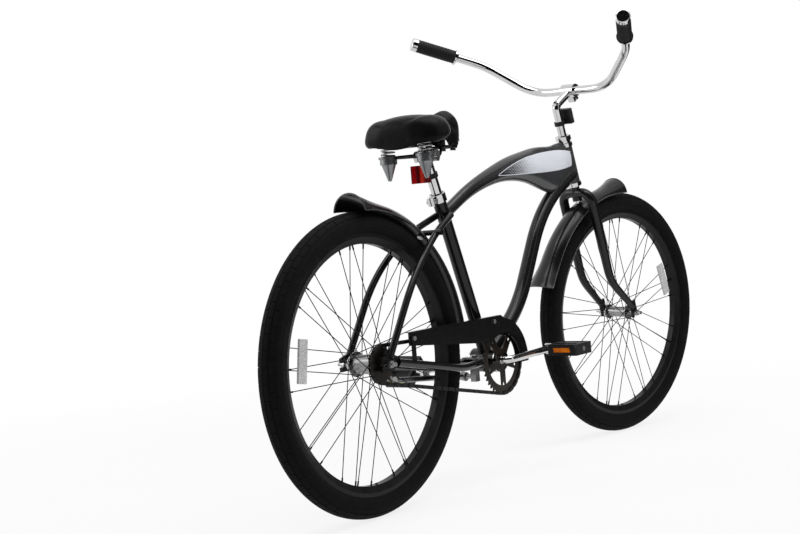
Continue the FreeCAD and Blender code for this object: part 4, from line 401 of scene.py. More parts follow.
def tank_paint():
    """The frame's paint, with a charcoal tank and a silver flash that ends in dots at its tail."""
    material = finish("tank_paint", (grey(0.010), grey(0.014)), (0.16, 0.26), 900, 0.02,
                      {"Specular IOR Level": 0.3, "Coat Weight": 0.2, "Coat Roughness": 0.05})
    tree = material.node_tree
    shader = tree.nodes["Principled BSDF"]
    paint = shader.inputs["Base Color"].links[0].from_socket
    place = node(tree, "ShaderNodeTexCoord").outputs["Object"]
    part = node(tree, "ShaderNodeSeparateXYZ", {"Vector": place})
    along, height = part.outputs["X"], part.outputs["Z"]
    share = share_of(tree, along, FLASH_TAIL, FLASH_HEAD)

    def edge(levels):
        curve = node(tree, "ShaderNodeFloatCurve", {"Value": share})
        points = curve.mapping.curves[0].points
        places = [i / (len(levels) - 1) for i in range(len(levels))]
        while len(points) < len(levels):
            points.new(0.5, 0.5)
        for point, at, level in zip(points, places, levels):
            point.location = (at, (level - FLASH_BASE) / FLASH_SPAN)
        curve.mapping.update()
        return maths(tree, "ADD", maths(tree, "MULTIPLY", curve.outputs[0], FLASH_SPAN), FLASH_BASE)

    above = maths(tree, "SUBTRACT", edge(FLASH_UPPER), height)
    below = maths(tree, "SUBTRACT", height, edge(FLASH_LOWER))
    ahead = maths(tree, "SUBTRACT", FLASH_HEAD, along)
    behind = maths(tree, "SUBTRACT", along, FLASH_TAIL)
    inside = maths(tree, "MINIMUM", maths(tree, "MINIMUM", above, below),
                   maths(tree, "MINIMUM", ahead, behind))
    shape = share_of(tree, inside, 0.0, FLASH_EDGE)

    # Dots on a leaning square grid, larger towards the head of the flash
    lean = node(tree, "ShaderNodeMapping", {"Vector": place, "Rotation": (0, math.radians(45), 0),
                                            "Scale": (1 / FLASH_DOT,) * 3})
    cell = node(tree, "ShaderNodeVectorMath", {0: lean.outputs[0]}, operation="FRACTION")
    centred = {0: cell.outputs[0], 1: (0.5, 0.5, 0.5)}
    offset = node(tree, "ShaderNodeVectorMath", centred, operation="SUBTRACT")
    spot = node(tree, "ShaderNodeSeparateXYZ", {"Vector": offset.outputs[0]}).outputs
    square = maths(tree, "ADD", maths(tree, "MULTIPLY", spot["X"], spot["X"]),
                   maths(tree, "MULTIPLY", spot["Z"], spot["Z"]))
    reach = maths(tree, "SQRT", square)
    size = spread(tree, share_of(tree, share, *DOT_SHARES), *DOT_SIZES)
    dots = share_of(tree, maths(tree, "SUBTRACT", size, reach), 0.0, DOT_EDGE)
    outline = share_of(tree, inside, *FLASH_LINE)
    flash = maths(tree, "MULTIPLY", shape, maths(tree, "MAXIMUM", dots, outline))

    charcoal = mixed(tree, share_of(tree, along, TANK_FROM, TANK_TO), paint, TANK_CHARCOAL)
    silver = mixed(tree, flash, charcoal, FLASH_SILVER)
    tree.links.new(silver, shader.inputs["Base Color"])
    return material


def vinyl_finish():
    """Black saddle vinyl: a pebbled grain under an uneven gloss."""
    material = plain_finish("saddle_vinyl", (grey(0.003), grey(0.006)), (0.3, 0.42), 260, 0.1, 0.07)
    tree = material.node_tree
    fine = tree.nodes["Principled BSDF"].inputs["Normal"].links[0].from_socket
    place = node(tree, "ShaderNodeTexCoord").outputs["Object"]
    scale, strength, depth = PEBBLE
    pebble = node(tree, "ShaderNodeTexVoronoi", {"Vector": place, "Scale": scale},
                  feature="SMOOTH_F1")
    emboss(tree, pebble.outputs["Distance"], strength, depth, Normal=fine)
    return material


def clear_lens_finish():
    """A clear moulded reflector: rows of small prisms under a glossy face."""
    material = finish("clear_lens", (grey(0.62), grey(0.78)), (0.08, 0.2), 400, 0.02,
                      {"Coat Weight": 0.2, "Coat Roughness": 0.04, "Specular IOR Level": 0.3,
                       "Transmission Weight": 0.2, "IOR": 1.49})
    tree = material.node_tree
    place = node(tree, "ShaderNodeTexCoord").outputs["Object"]
    scale, strength, depth = PRISM
    prism = node(tree, "ShaderNodeTexVoronoi", {"Vector": place, "Scale": scale, "Randomness": 0.0},
                 distance="CHEBYCHEV")
    emboss(tree, prism.outputs["Distance"], strength, depth)
    return material


def glint_banded_lens():
    """Red reflector with painted highlights and painted shade: bright and dark upright bands in its
    colour stand for the light on its moulded facets.
    """
    material = plain_finish("red_lens", (grey(0.8), grey(1.0)), (0.08, 0.16), 300, 0.02, 0.16)
    tree = material.node_tree
    shader = tree.nodes["Principled BSDF"]
    tone = shader.inputs["Base Color"].links[0].from_socket
    place = node(tree, "ShaderNodeTexCoord").outputs["Object"]
    across = node(tree, "ShaderNodeSeparateXYZ", {"Vector": place}).outputs["Y"]
    # Painted highlights and painted shade: the bands darken or brighten the lens colour where its
    # facets catch the light
    painted_glints = ramp(tree, share_of(tree, across, -REFLECTOR_HALF, REFLECTOR_HALF), LENS_GLINT_BANDS)
    shaded = mixed(tree, 1.0, painted_glints, tone, blend_type="MULTIPLY")
    tree.links.new(shaded, shader.inputs["Base Color"])
    return material


def brushed_finish(name, tones, rough, run):
    """Drawn metal: streaks along one direction over a two-tone base."""
    material = metal_finish(name, tones, rough, 500, 0.03, 1.0)
    tree = material.node_tree
    place = node(tree, "ShaderNodeTexCoord").outputs["Object"]
    drawn = node(tree, "ShaderNodeMapping", {"Vector": place, "Scale": run})
    scale, strength, depth = STREAK
    streak = node(tree, "ShaderNodeTexNoise", {"Vector": drawn.outputs[0], "Scale": scale,
                                               "Detail": 3.0})
    emboss(tree, streak.outputs["Fac"], strength, depth)
    return material


GLOSS = {"Specular IOR Level": 0.24, "Coat Weight": 0.14, "Coat Roughness": 0.05}
paint = finish("frame_paint", (grey(0.006), grey(0.009)), (0.16, 0.28), 900, 0.02, GLOSS)
# Fender beads: lighter and glossier than the frame paint, a painted highlight along the rolled
# edges
bead_glint_paint = plain_finish("bead_glint_paint", (grey(0.03), grey(0.05)), (0.16, 0.26), 700, 0.02, 0.6)
chrome = metal_finish("chrome", (grey(0.54), grey(0.66)), (0.05, 0.13), 240, 0.012, 1.0)
dull_chrome = metal_finish("springs_chrome", (grey(0.42), grey(0.62)), (0.12, 0.28), 300, 0.03, 1.0)
zinc = brushed_finish("zinc_steel", (grey(0.36), grey(0.5)), (0.25, 0.42), (700, 60, 700))
alloy = brushed_finish("cast_alloy", (grey(0.22), grey(0.32)), (0.3, 0.45), (90, 600, 600))
hub_steel = brushed_finish("hub_shell", (grey(0.22), grey(0.34)), (0.24, 0.4), (500, 40, 500))
spoke_black = plain_finish("spoke_black", (grey(0.004), grey(0.010)), (0.3, 0.45), 500, 0.02, 0.12)
rim_black = plain_finish("rim_black", (grey(0.005), grey(0.010)), (0.25, 0.4), 500, 0.02, 0.14)
gunmetal = metal_finish("gunmetal", (grey(0.014, 0.14), grey(0.036, 0.2)), (0.22, 0.38),
                        350, 0.04, 0.85)
chain_steel = metal_finish("chain_steel", (grey(0.010, 0.06), grey(0.034, 0.06)), (0.3, 0.5),
                           420, 0.05, 0.85)
cup_steel = brushed_finish("cup_steel", (grey(0.17, -0.03), grey(0.3, -0.03)), (0.3, 0.44),
                           (400, 400, 60))
rubber = plain_finish("tyre_rubber", (grey(0.0035), grey(0.007)), (0.62, 0.86), 420, 0.25, 0.08)
tube_rubber = plain_finish("tube_rubber", (grey(0.012), grey(0.018)), (0.6, 0.8), 300, 0.1, 0.3)
grip_rubber = plain_finish("grip_rubber", (grey(0.008), grey(0.014)), (0.5, 0.7), 700, 0.25, 0.18)
plastic = plain_finish("moulded_plastic", (grey(0.009), grey(0.014)), (0.38, 0.52), 800, 0.12, 0.2)
vinyl = vinyl_finish()
red_lens = glint_banded_lens()
clear_lens = clear_lens_finish()
amber_lens = plain_finish("amber_lens", ((0.5, 0.09, 0.003), (0.8, 0.2, 0.006)), (0.12, 0.22),
                          300, 0.02, 0.2)
yellow_lens = plain_finish("yellow_lens", ((0.55, 0.5, 0.02), (0.8, 0.74, 0.04)), (0.12, 0.22),
                           300, 0.02, 0.2)
tank = tank_paint()

FINISHES = (
    (tank, ("head_tube", "top_tube")),
    (paint, ("down_tube", "seat_tube", "bottom_bracket_shell", "chain_stays", "seat_stays",
             "dropouts", "rear_fender", "chain_guard", "chain_guard_brackets", "fork_blades",
             "steerer", "front_fender")),
    (chrome, ("seat_clamp", "bearing_cups", "headset_nuts", "stem", "stem_bolts", "handlebar",
              "grip_ferrules", "seat_post", "crank")),
    (dull_chrome, ("saddle_clamp",)),
    (cup_steel, ("spring_cups",)),
    (zinc, ("frame_bolts", "pedal_spindles", "frame_bearings", "rear_axle", "front_axle",
            "brake_arm")),
    (gunmetal, ("rear_sprocket", "chainring")),
    (chain_steel, ("chain",)),
    (spoke_black, ("front_spokes", "rear_spokes", "saddle_rails")),
    (hub_steel, ("front_hub", "rear_hub")),
    (rim_black, ("front_rim", "rear_rim")),
    (alloy, ("kickstand_bracket", "kickstand_leg")),
    (tube_rubber, ("front_inner_tube", "rear_inner_tube")),
    (grip_rubber, ("grips",)),
    (plastic, ("saddle_pan", "front_reflector_bracket", "rear_reflector_bracket")),
    (clear_lens, ("front_reflector_lens", "front_spoke_reflector", "rear_spoke_reflector")),
)


def dress_nodes():
    for material, names in FINISHES:
        for name in names:
            mesh = nodes[name].data
            mesh.materials.clear()
            mesh.materials.append(material)


# Tyres

def wheel_place(joint):
    """Matrix from a wheel's own frame, with Z along its axle, to the bicycle's."""
    axle = Vector(joint["axis"]).normalized()
    out = axle.cross(Vector((0, 0, 1))).normalized()
    turn = Matrix((out, axle.cross(out), axle)).transposed().to_4x4()
    return Matrix.Translation(Vector(joint["pos_m"])) @ turn


def section_point(angle, radius):
    """Distance from the axle and offset of a point on the section, at degrees from the crown."""
    middle = TREAD_RADIUS - SECTION_RADIUS
    turn = math.radians(angle)
    return middle + radius * math.cos(turn), radius * math.sin(turn)


def casing_radius(angle):
    """Section radius: lower between the tread blocks, with three fine ribs on each side wall."""
    away = abs(angle)
    wall = SECTION_RADIUS - SIDEWALL_SINK
    base = SECTION_RADIUS - TREAD_DEPTH
    rise = min(max((away - TREAD_EDGE) / TREAD_SHOULDER, 0), 1)
    radius = base + (wall - base) * rise * rise * (3 - 2 * rise)
    for rib in SIDEWALL_RIBS:
        radius += RIB_HEIGHT * max(0, 1 - abs(away - rib) / RIB_HALF_ANGLE)
    return radius


def casing_mesh():
    """The tyre's carcass: a closed ring with a wall, turned about Z."""
    angles = list(range(-BEAD_ANGLE, BEAD_ANGLE + 1, SECTION_STEP))
    within = SECTION_RADIUS - TREAD_DEPTH - TYRE_WALL
    profile = [section_point(angle, casing_radius(angle)) for angle in angles]
    profile += [section_point(angle, within) for angle in reversed(angles[::INNER_EVERY])]
    work = bmesh.new()
    rings = []
    for step in range(TYRE_STEPS):
        turn = 2 * math.pi * step / TYRE_STEPS
        ahead, aside = math.cos(turn), math.sin(turn)
        rings.append([work.verts.new((r * ahead, r * aside, z)) for r, z in profile])
    for step, ring in enumerate(rings):
        following = rings[(step + 1) % TYRE_STEPS]
        for i, vert in enumerate(ring):
            after = (i + 1) % len(ring)
            work.faces.new((vert, following[i], following[after], ring[after]))
    bmesh.ops.recalc_face_normals(work, faces=work.faces)
    mesh = bpy.data.meshes.new("casing")
    work.to_mesh(mesh)
    work.free()
    smooth(mesh, 40)
    mesh.materials.append(rubber)
    return mesh


def tread_tree():
    """Staggered rows of tread blocks, laid out flat and then rolled round the tyre's crown."""
    tree, source, ends = geometry_tree("tread_blocks", {
        "Count": "NodeSocketInt", "Rows": "NodeSocketInt", "Pitch": "NodeSocketFloat",
        "Row Width": "NodeSocketFloat", "Block": "NodeSocketVector",
        "Wheel Radius": "NodeSocketFloat", "Section Radius": "NodeSocketFloat",
        "Material": "NodeSocketMaterial"})
    given = source.outputs
    index = node(tree, "GeometryNodeInputIndex").outputs[0]
    row = maths(tree, "MODULO", index, given["Rows"])
    column = maths(tree, "FLOOR", maths(tree, "DIVIDE", index, given["Rows"]))
    stagger = maths(tree, "MULTIPLY", maths(tree, "MODULO", row, 2.0), 0.5)
    first = maths(tree, "DIVIDE", maths(tree, "SUBTRACT", given["Rows"], 1.0), 2.0)
    flat = node(tree, "ShaderNodeCombineXYZ", {
        "X": maths(tree, "MULTIPLY", maths(tree, "ADD", column, stagger), given["Pitch"]),
        "Y": maths(tree, "MULTIPLY", maths(tree, "SUBTRACT", row, first), given["Row Width"])})
    total = maths(tree, "MULTIPLY", given["Count"], given["Rows"])
    points = node(tree, "GeometryNodePoints", {"Count": total, "Position": flat.outputs[0]})
    block = node(tree, "GeometryNodeMeshCube", {"Size": given["Block"], "Vertices X": 5,
                                                "Vertices Y": 4})
    blocks = node(tree, "GeometryNodeInstanceOnPoints", {"Points": points.outputs[0],
                                                         "Instance": block.outputs[0]})
    real = node(tree, "GeometryNodeRealizeInstances", {"Geometry": blocks.outputs[0]})

    # Along the row becomes a turn round the axle, across it a turn round the section
    laid = node(tree, "GeometryNodeInputPosition")
    here = node(tree, "ShaderNodeSeparateXYZ", {"Vector": laid.outputs[0]}).outputs
    middle = maths(tree, "SUBTRACT", given["Wheel Radius"], given["Section Radius"])
    turn = maths(tree, "DIVIDE", here["X"], given["Wheel Radius"])
    lean = maths(tree, "DIVIDE", here["Y"], given["Section Radius"])
    out = maths(tree, "ADD", given["Section Radius"], here["Z"])
    reach = maths(tree, "ADD", middle, maths(tree, "MULTIPLY", out, maths(tree, "COSINE", lean)))
    rolled = node(tree, "ShaderNodeCombineXYZ", {
        "X": maths(tree, "MULTIPLY", reach, maths(tree, "COSINE", turn)),
        "Y": maths(tree, "MULTIPLY", reach, maths(tree, "SINE", turn)),
        "Z": maths(tree, "MULTIPLY", out, maths(tree, "SINE", lean))})
    moved = node(tree, "GeometryNodeSetPosition", {"Geometry": real.outputs[0],
                                                   "Position": rolled.outputs[0]})
    close_tree(tree, moved.outputs[0], source, ends)
    return tree


def make_tyres():
    tree = tread_tree()
    pitch = 2 * math.pi * TREAD_RADIUS / TREAD_BLOCKS
    row_width = math.radians(TREAD_ROW_ANGLE) * SECTION_RADIUS
    height = TREAD_DEPTH + TREAD_SINK
    for wheel, joint in (("front", joints["front_spin"]), ("rear", joints["rear_spin"])):
        blocks = grown(tree, bpy.data.meshes.new("blocks"), {
            "Count": TREAD_BLOCKS, "Rows": TREAD_ROWS, "Pitch": pitch, "Row Width": row_width,
            "Block": (pitch - TREAD_GAP, row_width - TREAD_GAP, height),
            "Wheel Radius": TREAD_RADIUS - height / 2,
            "Section Radius": SECTION_RADIUS - height / 2, "Material": rubber})
        mesh = joined([casing_mesh(), blocks])
        smooth(mesh, 40)
        mesh.transform(wheel_place(joint))
        piece = new_piece(wheel + "_tyre_tread", mesh, rubber, wheel + "_wheel")
        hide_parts(wheel + "_tyre")


# Saddle

def swell(piece, cap):
    """Air pressure in a cloth skin rounds the foam, up to the cap; its underside is held."""
    rest = [vert.co.copy() for vert in piece.data.vertices]
    floor = min(place.z for place in rest)
    held = piece.vertex_groups.new(name="held")
    under = [vert.index for vert in piece.data.vertices
             if vert.normal.z < UNDERSIDE or vert.co.z < floor + SWELL_HELD]
    held.add(under, 1.0, "REPLACE")
    cloth = piece.modifiers.new("skin", "CLOTH")
    skin = cloth.settings
    skin.vertex_group_mass = "held"
    skin.use_pressure = True
    skin.uniform_pressure_force = SWELL_PRESSURE
    skin.effector_weights.gravity = 0
    skin.tension_stiffness = SWELL_STIFFNESS
    skin.compression_stiffness = SWELL_STIFFNESS
    for step in range(1, SWELL_FRAMES + 1):
        scene.frame_set(step)
    graph = bpy.context.evaluated_depsgraph_get()
    puffed = [vert.co.copy() for vert in piece.evaluated_get(graph).data.vertices]
    piece.modifiers.remove(cloth)
    piece.vertex_groups.clear()
    for vert, was, now in zip(piece.data.vertices, rest, puffed):
        move = now - was
        vert.co = was + move * min(1, cap / max(move.length, 1e-9))


def add_skirt(mesh):
    """The deep padded skirt round the back of the saddle, and the belly between its springs."""
    outer = list(SKIRT_OUTER) + [(x, -y) for x, y in reversed(SKIRT_OUTER[:-1])]
    inner = list(SKIRT_INNER) + [(x, -y) for x, y in reversed(SKIRT_INNER[:-1])]
    levels = SKIRT_LEVELS + SKIRT_LEVELS[-2::-1]
    work = bmesh.new()
    work.from_mesh(mesh)
    rings = []
    for out, within, level in zip(outer, inner, levels):
        rings.append([work.verts.new((*out, level)), work.verts.new((*out, SKIRT_TOP)),
                      work.verts.new((*within, SKIRT_TOP)), work.verts.new((*within, level))])
    faces = [work.faces.new(rings[0]), work.faces.new(rings[-1])]
    for ring, following in zip(rings, rings[1:]):
        for i in range(4):
            after = (i + 1) % 4
            faces.append(work.faces.new((ring[i], ring[after], following[after], following[i])))
    bmesh.ops.recalc_face_normals(work, faces=faces)
    middle = Matrix.Translation((BELLY_LOW + BELLY_HIGH) / 2)
    belly = middle @ Matrix.Diagonal((*(BELLY_HIGH - BELLY_LOW), 1))
    bmesh.ops.create_cube(work, size=1, matrix=belly)
    work.to_mesh(mesh)
    work.free()


def droop(mesh):
    """The nose's side lobes hang a little below the pan."""
    for vert in mesh.vertices:
        x, y, z = vert.co
        ahead = min(max((x - NOSE_FROM) / NOSE_RAMP, 0), 1)
        ahead *= 1 - NOSE_FADE * min(max((x - NOSE_FROM) / (NOSE_TIP - NOSE_FROM), 0), 1)
        aside = min(max((abs(y) - NOSE_WELL) / NOSE_WALL, 0), 1)
        if z < NOSE_LEVEL:
            vert.co.z -= ahead * aside * NOSE_DROOP * min(1, (NOSE_LEVEL - z) / NOSE_WELL)


def crease(mesh):
    """Soft fold lines across the saddle, where its wide back draws in to the nose."""
    mesh.update()
    for vert, normal in zip(mesh.vertices, [v.normal.copy() for v in mesh.vertices]):
        sunk = 0.0
        for place in CREASES:
            away = (vert.co.x - place + CREASE_SWEEP * abs(vert.co.y)) / CREASE_WIDTH
            sunk += CREASE_DEPTH * math.exp(-away * away)
        if normal.z > CREASE_LOWEST:
            vert.co -= normal * sunk


def foam_mesh():
    """The cushion's CAD form with its skirt, drawn in a little, remeshed and swollen."""
    mesh = merged_copy("saddle_foam", "saddle_cushion")
    add_skirt(mesh)
    piece = bpy.data.objects.new("saddle_foam", mesh)
    scene.collection.objects.link(piece)
    remesh = piece.modifiers.new("voxels", "REMESH")
    remesh.mode = "VOXEL"
    remesh.voxel_size = SADDLE_VOXEL
    even = piece.modifiers.new("even", "SMOOTH")
    even.factor = EVEN_FACTOR
    even.iterations = EVEN_ROUNDS
    mesh = baked(piece)
    mesh.update()
    for vert, normal in zip(mesh.vertices, [v.normal.copy() for v in mesh.vertices]):
        vert.co -= normal * SADDLE_SHRINK
    piece = bpy.data.objects.new("saddle_foam", mesh)
    scene.collection.objects.link(piece)
    swell(piece, SADDLE_SWELL)
    droop(mesh)
    crease(mesh)
    finer = piece.modifiers.new("finer", "SUBSURF")
    finer.levels = finer.render_levels = 1
    return baked(piece)


def make_saddle():
    mesh = foam_mesh()
    smooth(mesh, 180)
    cushion = new_piece("saddle_cover", mesh, vinyl, "saddle")
    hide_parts("saddle_cushion")


# Springs

def coil_points(x, y, low, high, radius):
    """A coil with a flat turn at each end."""
    count = int(SPRING_TURNS * SPRING_STEPS)
    points = []
    for step in range(count + 1):
        share = step / count
        rise = (share * SPRING_TURNS - SPRING_FLAT_TURN) / (SPRING_TURNS - 2 * SPRING_FLAT_TURN)
        lift = min(max(rise, 0), 1)
        turn = 2 * math.pi * share * SPRING_TURNS
        points.append((x + radius * math.cos(turn), y + radius * math.sin(turn),
                       low + (high - low) * lift))
    return points


def make_springs():
    low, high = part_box("saddle_springs")
    middle = (low.x + high.x) / 2
    radius = (high.x - low.x) / 2 - SPRING_WIRE
    side = high.y - radius - SPRING_WIRE
    bottom, top = low.z + SPRING_WIRE, high.z - SPRING_WIRE
    meshes = [tube(coil_points(middle, y, bottom, top, radius), SPRING_WIRE) for y in (side, -side)]
    piece = new_piece("coil_springs", joined(meshes), dull_chrome, "seat_post")
    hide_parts("saddle_springs")
    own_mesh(piece)


# Pedals

def ridge_tree():
    """A row of equal ridged bars, side by side along X."""
    tree, source, ends = geometry_tree("lens_ridges", {
        "Count": "NodeSocketInt", "Pitch": "NodeSocketFloat", "Bar": "NodeSocketVector",
        "Material": "NodeSocketMaterial"})
    given = source.outputs
    index = node(tree, "GeometryNodeInputIndex").outputs[0]
    first = maths(tree, "DIVIDE", maths(tree, "SUBTRACT", given["Count"], 1.0), 2.0)
    place = node(tree, "ShaderNodeCombineXYZ", {
        "X": maths(tree, "MULTIPLY", maths(tree, "SUBTRACT", index, first), given["Pitch"])})
    points = node(tree, "GeometryNodePoints", {"Count": given["Count"],
                                               "Position": place.outputs[0]})
    bar = node(tree, "GeometryNodeMeshCube", {"Size": given["Bar"]})
    bars = node(tree, "GeometryNodeInstanceOnPoints", {"Points": points.outputs[0],
                                                       "Instance": bar.outputs[0],
                                                       "Rotation": (0.0, PEDAL_RIDGE_TURN, 0.0)})
    close_tree(tree, bars.outputs[0], source, ends)
    return tree


def make_pedals():
    tree = ridge_tree()
    deep, wide, tall = PEDAL_LENS
    pitch = wide / PEDAL_RIDGES
    for side, way, lean, lens in (("left", 1, LEFT_PEDAL_PITCH, yellow_lens),
                                  ("right", -1, 0.0, amber_lens)):
        mesh = merged_copy(side + "_pedal_block", side + "_pedal")
        smooth(mesh, 30)
        piece = new_piece(side + "_pedal_block", mesh, plastic, side + "_pedal")
        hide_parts(side + "_pedal")
        eye = Vector(joints[side + "_pedal_spin"]["pos_m"])
        pair = []
        for end in (1, -1):
            ridges = grown(tree, bpy.data.meshes.new("ridges"), {
                "Count": PEDAL_RIDGES, "Pitch": pitch, "Bar": (pitch, deep, tall),
                "Material": lens})
            ridges.transform(Matrix.Translation((end * PEDAL_LENS_REACH, way * PEDAL_LENS_OUT, 0))
                             @ Matrix.Rotation(math.pi / 2, 4, "Z"))
            pair.append(ridges)
        mesh = joined(pair)
        mesh.transform(Matrix.Translation(eye) @ Matrix.Rotation(lean, 4, "Y"))
        new_piece(side + "_pedal_lenses", mesh, lens, side + "_pedal")


# Rear reflector

def make_rear_reflector():
    """A ribbed red lens, wrapped round its housing: a middle face and two sides that fall away."""
    low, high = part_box("rear_reflector_lens")
    half = high.y + REFLECTOR_SKIN
    back = low.x + REFLECTOR_WRAP
    edge = low.x + REFLECTOR_EDGE
    profile = [(back, -half), (edge, -half)]
    for step in range(2 * REFLECTOR_RIBS + 1):
        y = half * (step / REFLECTOR_RIBS - 1)
        fall = max(0.0, abs(y) / half - REFLECTOR_FLAT) * REFLECTOR_FALL
        profile.append((low.x + fall + (REFLECTOR_RIB if step % 2 else 0.0), y))
    profile += [(edge, half), (back, half)]
    work = bmesh.new()
    rims = [[work.verts.new((x, y, z)) for x, y in profile]
            for z in (low.z - REFLECTOR_SKIN, high.z + REFLECTOR_SKIN)]
    for i in range(len(profile) - 1):
        work.faces.new((rims[0][i], rims[0][i + 1], rims[1][i + 1], rims[1][i]))
    for rim in rims:
        work.faces.new(rim)
    bmesh.ops.recalc_face_normals(work, faces=work.faces)
    mesh = bpy.data.meshes.new("rear_reflector_prism")
    work.to_mesh(mesh)
    work.free()
    piece = new_piece("rear_reflector_prism", mesh, red_lens, "seat_post")
    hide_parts("rear_reflector_lens")


# Grips and fender beads

def circle(tree, points, radius):
    return node(tree, "GeometryNodeCurvePrimitiveCircle", {"Resolution": points, "Radius": radius})


def rib_tree():
    """Round ribs spaced along a straight line."""
    tree, source, ends = geometry_tree("grip_ribs", {
        "Count": "NodeSocketInt", "First": "NodeSocketVector", "Step": "NodeSocketVector",
        "Turn": "NodeSocketRotation", "Ring Radius": "NodeSocketFloat",
        "Rib Radius": "NodeSocketFloat", "Material": "NodeSocketMaterial"})
    given = source.outputs
    line = node(tree, "GeometryNodeMeshLine", {"Count": given["Count"], "Offset": given["Step"],
                                               "Start Location": given["First"]})
    ring = circle(tree, RING_POINTS, given["Ring Radius"])
    section = circle(tree, BEAD_POINTS, given["Rib Radius"])
    rib = node(tree, "GeometryNodeCurveToMesh", {"Curve": ring.outputs[0],
                                                 "Profile Curve": section.outputs[0]})
    ribs = node(tree, "GeometryNodeInstanceOnPoints", {"Points": line.outputs[0],
                                                       "Instance": rib.outputs[0],
                                                       "Rotation": given["Turn"]})
    close_tree(tree, ribs.outputs[0], source, ends)
    return tree


def make_grip_ribs():
    tree = rib_tree()
    meshes = []
    for way in (1, -1):
        places = [vert.co for vert in nodes["grips"].data.vertices]
        points = numpy.array([place for place in places if place.y * way > 0])
        middle = (points.min(axis=0) + points.max(axis=0)) / 2
        ways = numpy.linalg.eigh(numpy.cov((points - points.mean(axis=0)).T))[1]
        axis = ways[:, 2]
        along = (points - middle) @ axis
        centre = middle + axis * (along.max() + along.min()) / 2
        off = points - centre
        outward = numpy.linalg.norm(off - numpy.outer(off @ axis, axis), axis=1)
        radius = float(numpy.percentile(outward, GRIP_PERCENTILE))
        length = (along.max() - along.min()) * GRIP_RIBBED_SHARE
        step = Vector(axis) * (length / (GRIP_RIBS - 1))
        meshes.append(grown(tree, bpy.data.meshes.new("ribs"), {
            "Count": GRIP_RIBS, "First": Vector(centre) - Vector(axis) * length / 2, "Step": step,
            "Turn": Vector(axis).to_track_quat("Z", "Y").to_euler(),
            "Ring Radius": radius - GRIP_RIB_SINK, "Rib Radius": GRIP_RIB_RADIUS,
            "Material": grip_rubber}))
    mesh = joined(meshes)
    smooth(mesh, 60)
    new_piece("grip_ribs", mesh, grip_rubber, "steering")


def bead_tree():
    """A round bead along every edge of the carrier."""
    tree, source, ends = geometry_tree("edge_bead", {
        "Radius": "NodeSocketFloat", "Material": "NodeSocketMaterial"})
    given = source.outputs
    line = node(tree, "GeometryNodeMeshToCurve", {"Mesh": given["Geometry"]})
    section = circle(tree, BEAD_POINTS, given["Radius"])
    bead = node(tree, "GeometryNodeCurveToMesh", {"Curve": line.outputs[0],
                                                  "Profile Curve": section.outputs[0]})
    close_tree(tree, bead.outputs[0], source, ends)
    return tree


def make_fender_beads():
    """The rolled edge of each fender, along the sharp edges of its sheet; the edge is real, its
    lighter paint is a painted highlight along it.
    """
    tree = bead_tree()
    for end, body in (("rear", "frame"), ("front", "steering")):
        mesh = merged_copy(end + "_bead", end + "_fender")
        work = bmesh.new()
        work.from_mesh(mesh)
        soft = [edge for edge in work.edges
                if not edge.is_manifold or edge.calc_face_angle() < FENDER_EDGE]
        bmesh.ops.delete(work, geom=soft, context="EDGES_FACES")
        work.to_mesh(mesh)
        work.free()
        bead = grown(tree, mesh, {"Radius": BEAD_RADIUS, "Material": bead_glint_paint})
        smooth(bead, 60)
        new_piece(end + "_fender_bead", bead, bead_glint_paint, body)


# Studio

def make_camera():
    data = bpy.data.cameras.new("camera")
    data.sensor_width = SENSOR_WIDTH
    data.lens = FOCAL_PIXELS / PHOTO_WIDTH * SENSOR_WIDTH
    camera = bpy.data.objects.new("camera", data)
    scene.collection.objects.link(camera)
    flat = math.cos(CAMERA_ELEVATION)
    back = Vector((math.sin(CAMERA_AZIMUTH) * flat, -math.cos(CAMERA_AZIMUTH) * flat,
                   math.sin(CAMERA_ELEVATION)))
    right = (-back).cross(Vector((0, 0, 1))).normalized()
    up = right.cross(-back)
    turned_right = right * math.cos(CAMERA_ROLL) + up * math.sin(CAMERA_ROLL)
    turned_up = up * math.cos(CAMERA_ROLL) - right * math.sin(CAMERA_ROLL)
    turn = Matrix((turned_right, turned_up, back)).transposed().to_4x4()
    camera.matrix_world = Matrix.Translation(CAMERA_AT) @ turn
    scene.camera = camera


def seen_directly(tree):
    """1 for rays that see the background: from the camera, and by way of metal or glass."""
    path = node(tree, "ShaderNodeLightPath").outputs
    return maths(tree, "MAXIMUM", path["Is Camera Ray"],
                 maths(tree, "MAXIMUM", path["Is Glossy Ray"], path["Is Transmission Ray"]))


def make_world():
    world = bpy.data.worlds.new("studio")
    world.use_nodes = True
    scene.world = world
    tree = world.node_tree
    tree.nodes.clear()
    soft = node(tree, "ShaderNodeBackground", {"Color": WHITE, "Strength": WORLD_STRENGTH})
    white = node(tree, "ShaderNodeBackground", {"Color": WHITE, "Strength": 1.0})
    sky = node(tree, "ShaderNodeMixShader", {"Fac": seen_directly(tree), 1: soft.outputs[0],
                                             2: white.outputs[0]})
    node(tree, "ShaderNodeOutputWorld", {"Surface": sky.outputs[0]})


def plane(name, size, place, material):
    work = bmesh.new()
    bmesh.ops.create_grid(work, x_segments=1, y_segments=1, size=size / 2)
    mesh = bpy.data.meshes.new(name)
    work.to_mesh(mesh)
    work.free()
    mesh.materials.append(material)
    mesh.transform(place)
    sheet = bpy.data.objects.new(name, mesh)
    scene.collection.objects.link(sheet)
    return sheet


def matt(name, colour, roughness):
    """A plain material without gloss; returns it with its shader."""
    material = bpy.data.materials.new(name)
    material.use_nodes = True
    shader = material.node_tree.nodes["Principled BSDF"]
    shader.inputs["Base Color"].default_value = colour
    shader.inputs["Roughness"].default_value = roughness
    shader.inputs["Specular IOR Level"].default_value = 0.0
    return material, shader


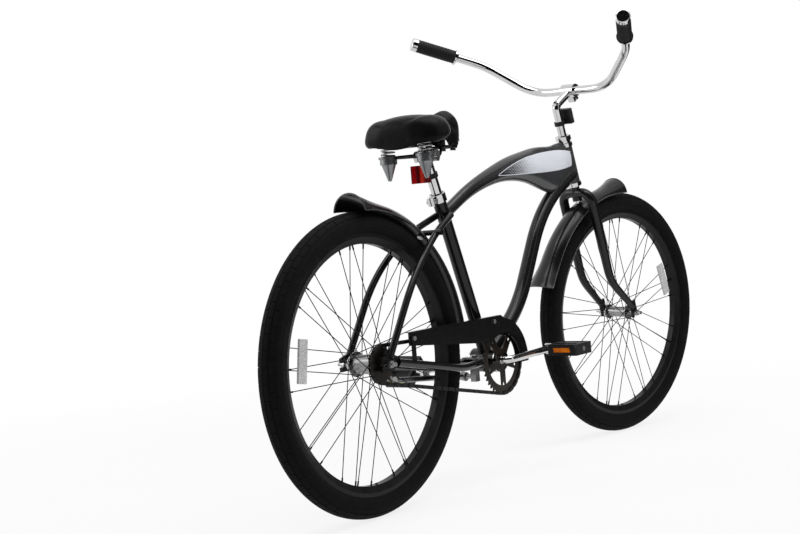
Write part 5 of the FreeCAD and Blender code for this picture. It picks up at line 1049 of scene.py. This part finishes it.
def make_floor():
    """A pale floor that reads as white to the camera and still takes the bicycle's shadow."""
    material, shader = matt("floor", FLOOR_COLOUR, 0.9)
    tree = material.node_tree
    glow = node(tree, "ShaderNodeEmission", {"Color": WHITE, "Strength": 1.0})
    place = node(tree, "ShaderNodeTexCoord").outputs["Object"]
    away = node(tree, "ShaderNodeVectorMath", {0: place}, operation="LENGTH").outputs["Value"]
    near, far = FLOOR_FADE
    fade = node(tree, "ShaderNodeMapRange", {"Value": away, "From Min": near, "From Max": far,
                                             "To Min": FLOOR_GLOW},
                interpolation_type="SMOOTHSTEP").outputs[0]
    shown = maths(tree, "MULTIPLY", seen_directly(tree), fade)
    surface = node(tree, "ShaderNodeMixShader", {"Fac": shown, 1: shader.outputs[0],
                                                 2: glow.outputs[0]})
    tree.links.new(surface.outputs[0], tree.nodes["Material Output"].inputs["Surface"])
    plane("floor", FLOOR_SIZE, Matrix.Identity(4), material)


def softbox(name, place, size, power):
    lamp = bpy.data.lights.new(name, "AREA")
    lamp.shape = "RECTANGLE"
    lamp.size, lamp.size_y = size
    lamp.energy = power
    holder = bpy.data.objects.new(name, lamp)
    scene.collection.objects.link(holder)
    way = (STUDIO_MIDDLE - Vector(place)).to_track_quat("-Z", "Y")
    holder.matrix_world = Matrix.Translation(Vector(place)) @ way.to_matrix().to_4x4()


def dark_cloths():
    """Dark cloths behind the camera and on the bicycle's right, seen only in reflections."""
    material, _ = matt("dark_cloth", CLOTH_COLOUR, 1.0)
    to_camera = (CAMERA_AT - STUDIO_MIDDLE).normalized()
    cloths = (("back_cloth", to_camera, BACK_CLOTH_AWAY, BACK_CLOTH_SIZE),
              ("right_cloth", RIGHT_CLOTH_WAY, RIGHT_CLOTH_AWAY, RIGHT_CLOTH_SIZE))
    for name, away, distance, size in cloths:
        place = Matrix.Translation(STUDIO_MIDDLE + away * distance)
        turn = away.to_track_quat("Z", "Y").to_matrix().to_4x4()
        cloth = plane(name, size, place @ turn, material)
        cloth.visible_camera = False
        cloth.visible_diffuse = False
        cloth.visible_transmission = False
        cloth.visible_shadow = False


def make_studio():
    make_camera()
    make_world()
    make_floor()
    for lamp in SOFTBOXES:
        softbox(*lamp)
    dark_cloths()


dress_nodes()
make_tyres()
make_saddle()
make_springs()
make_pedals()
make_rear_reflector()
make_grip_ribs()
make_fender_beads()
make_studio()
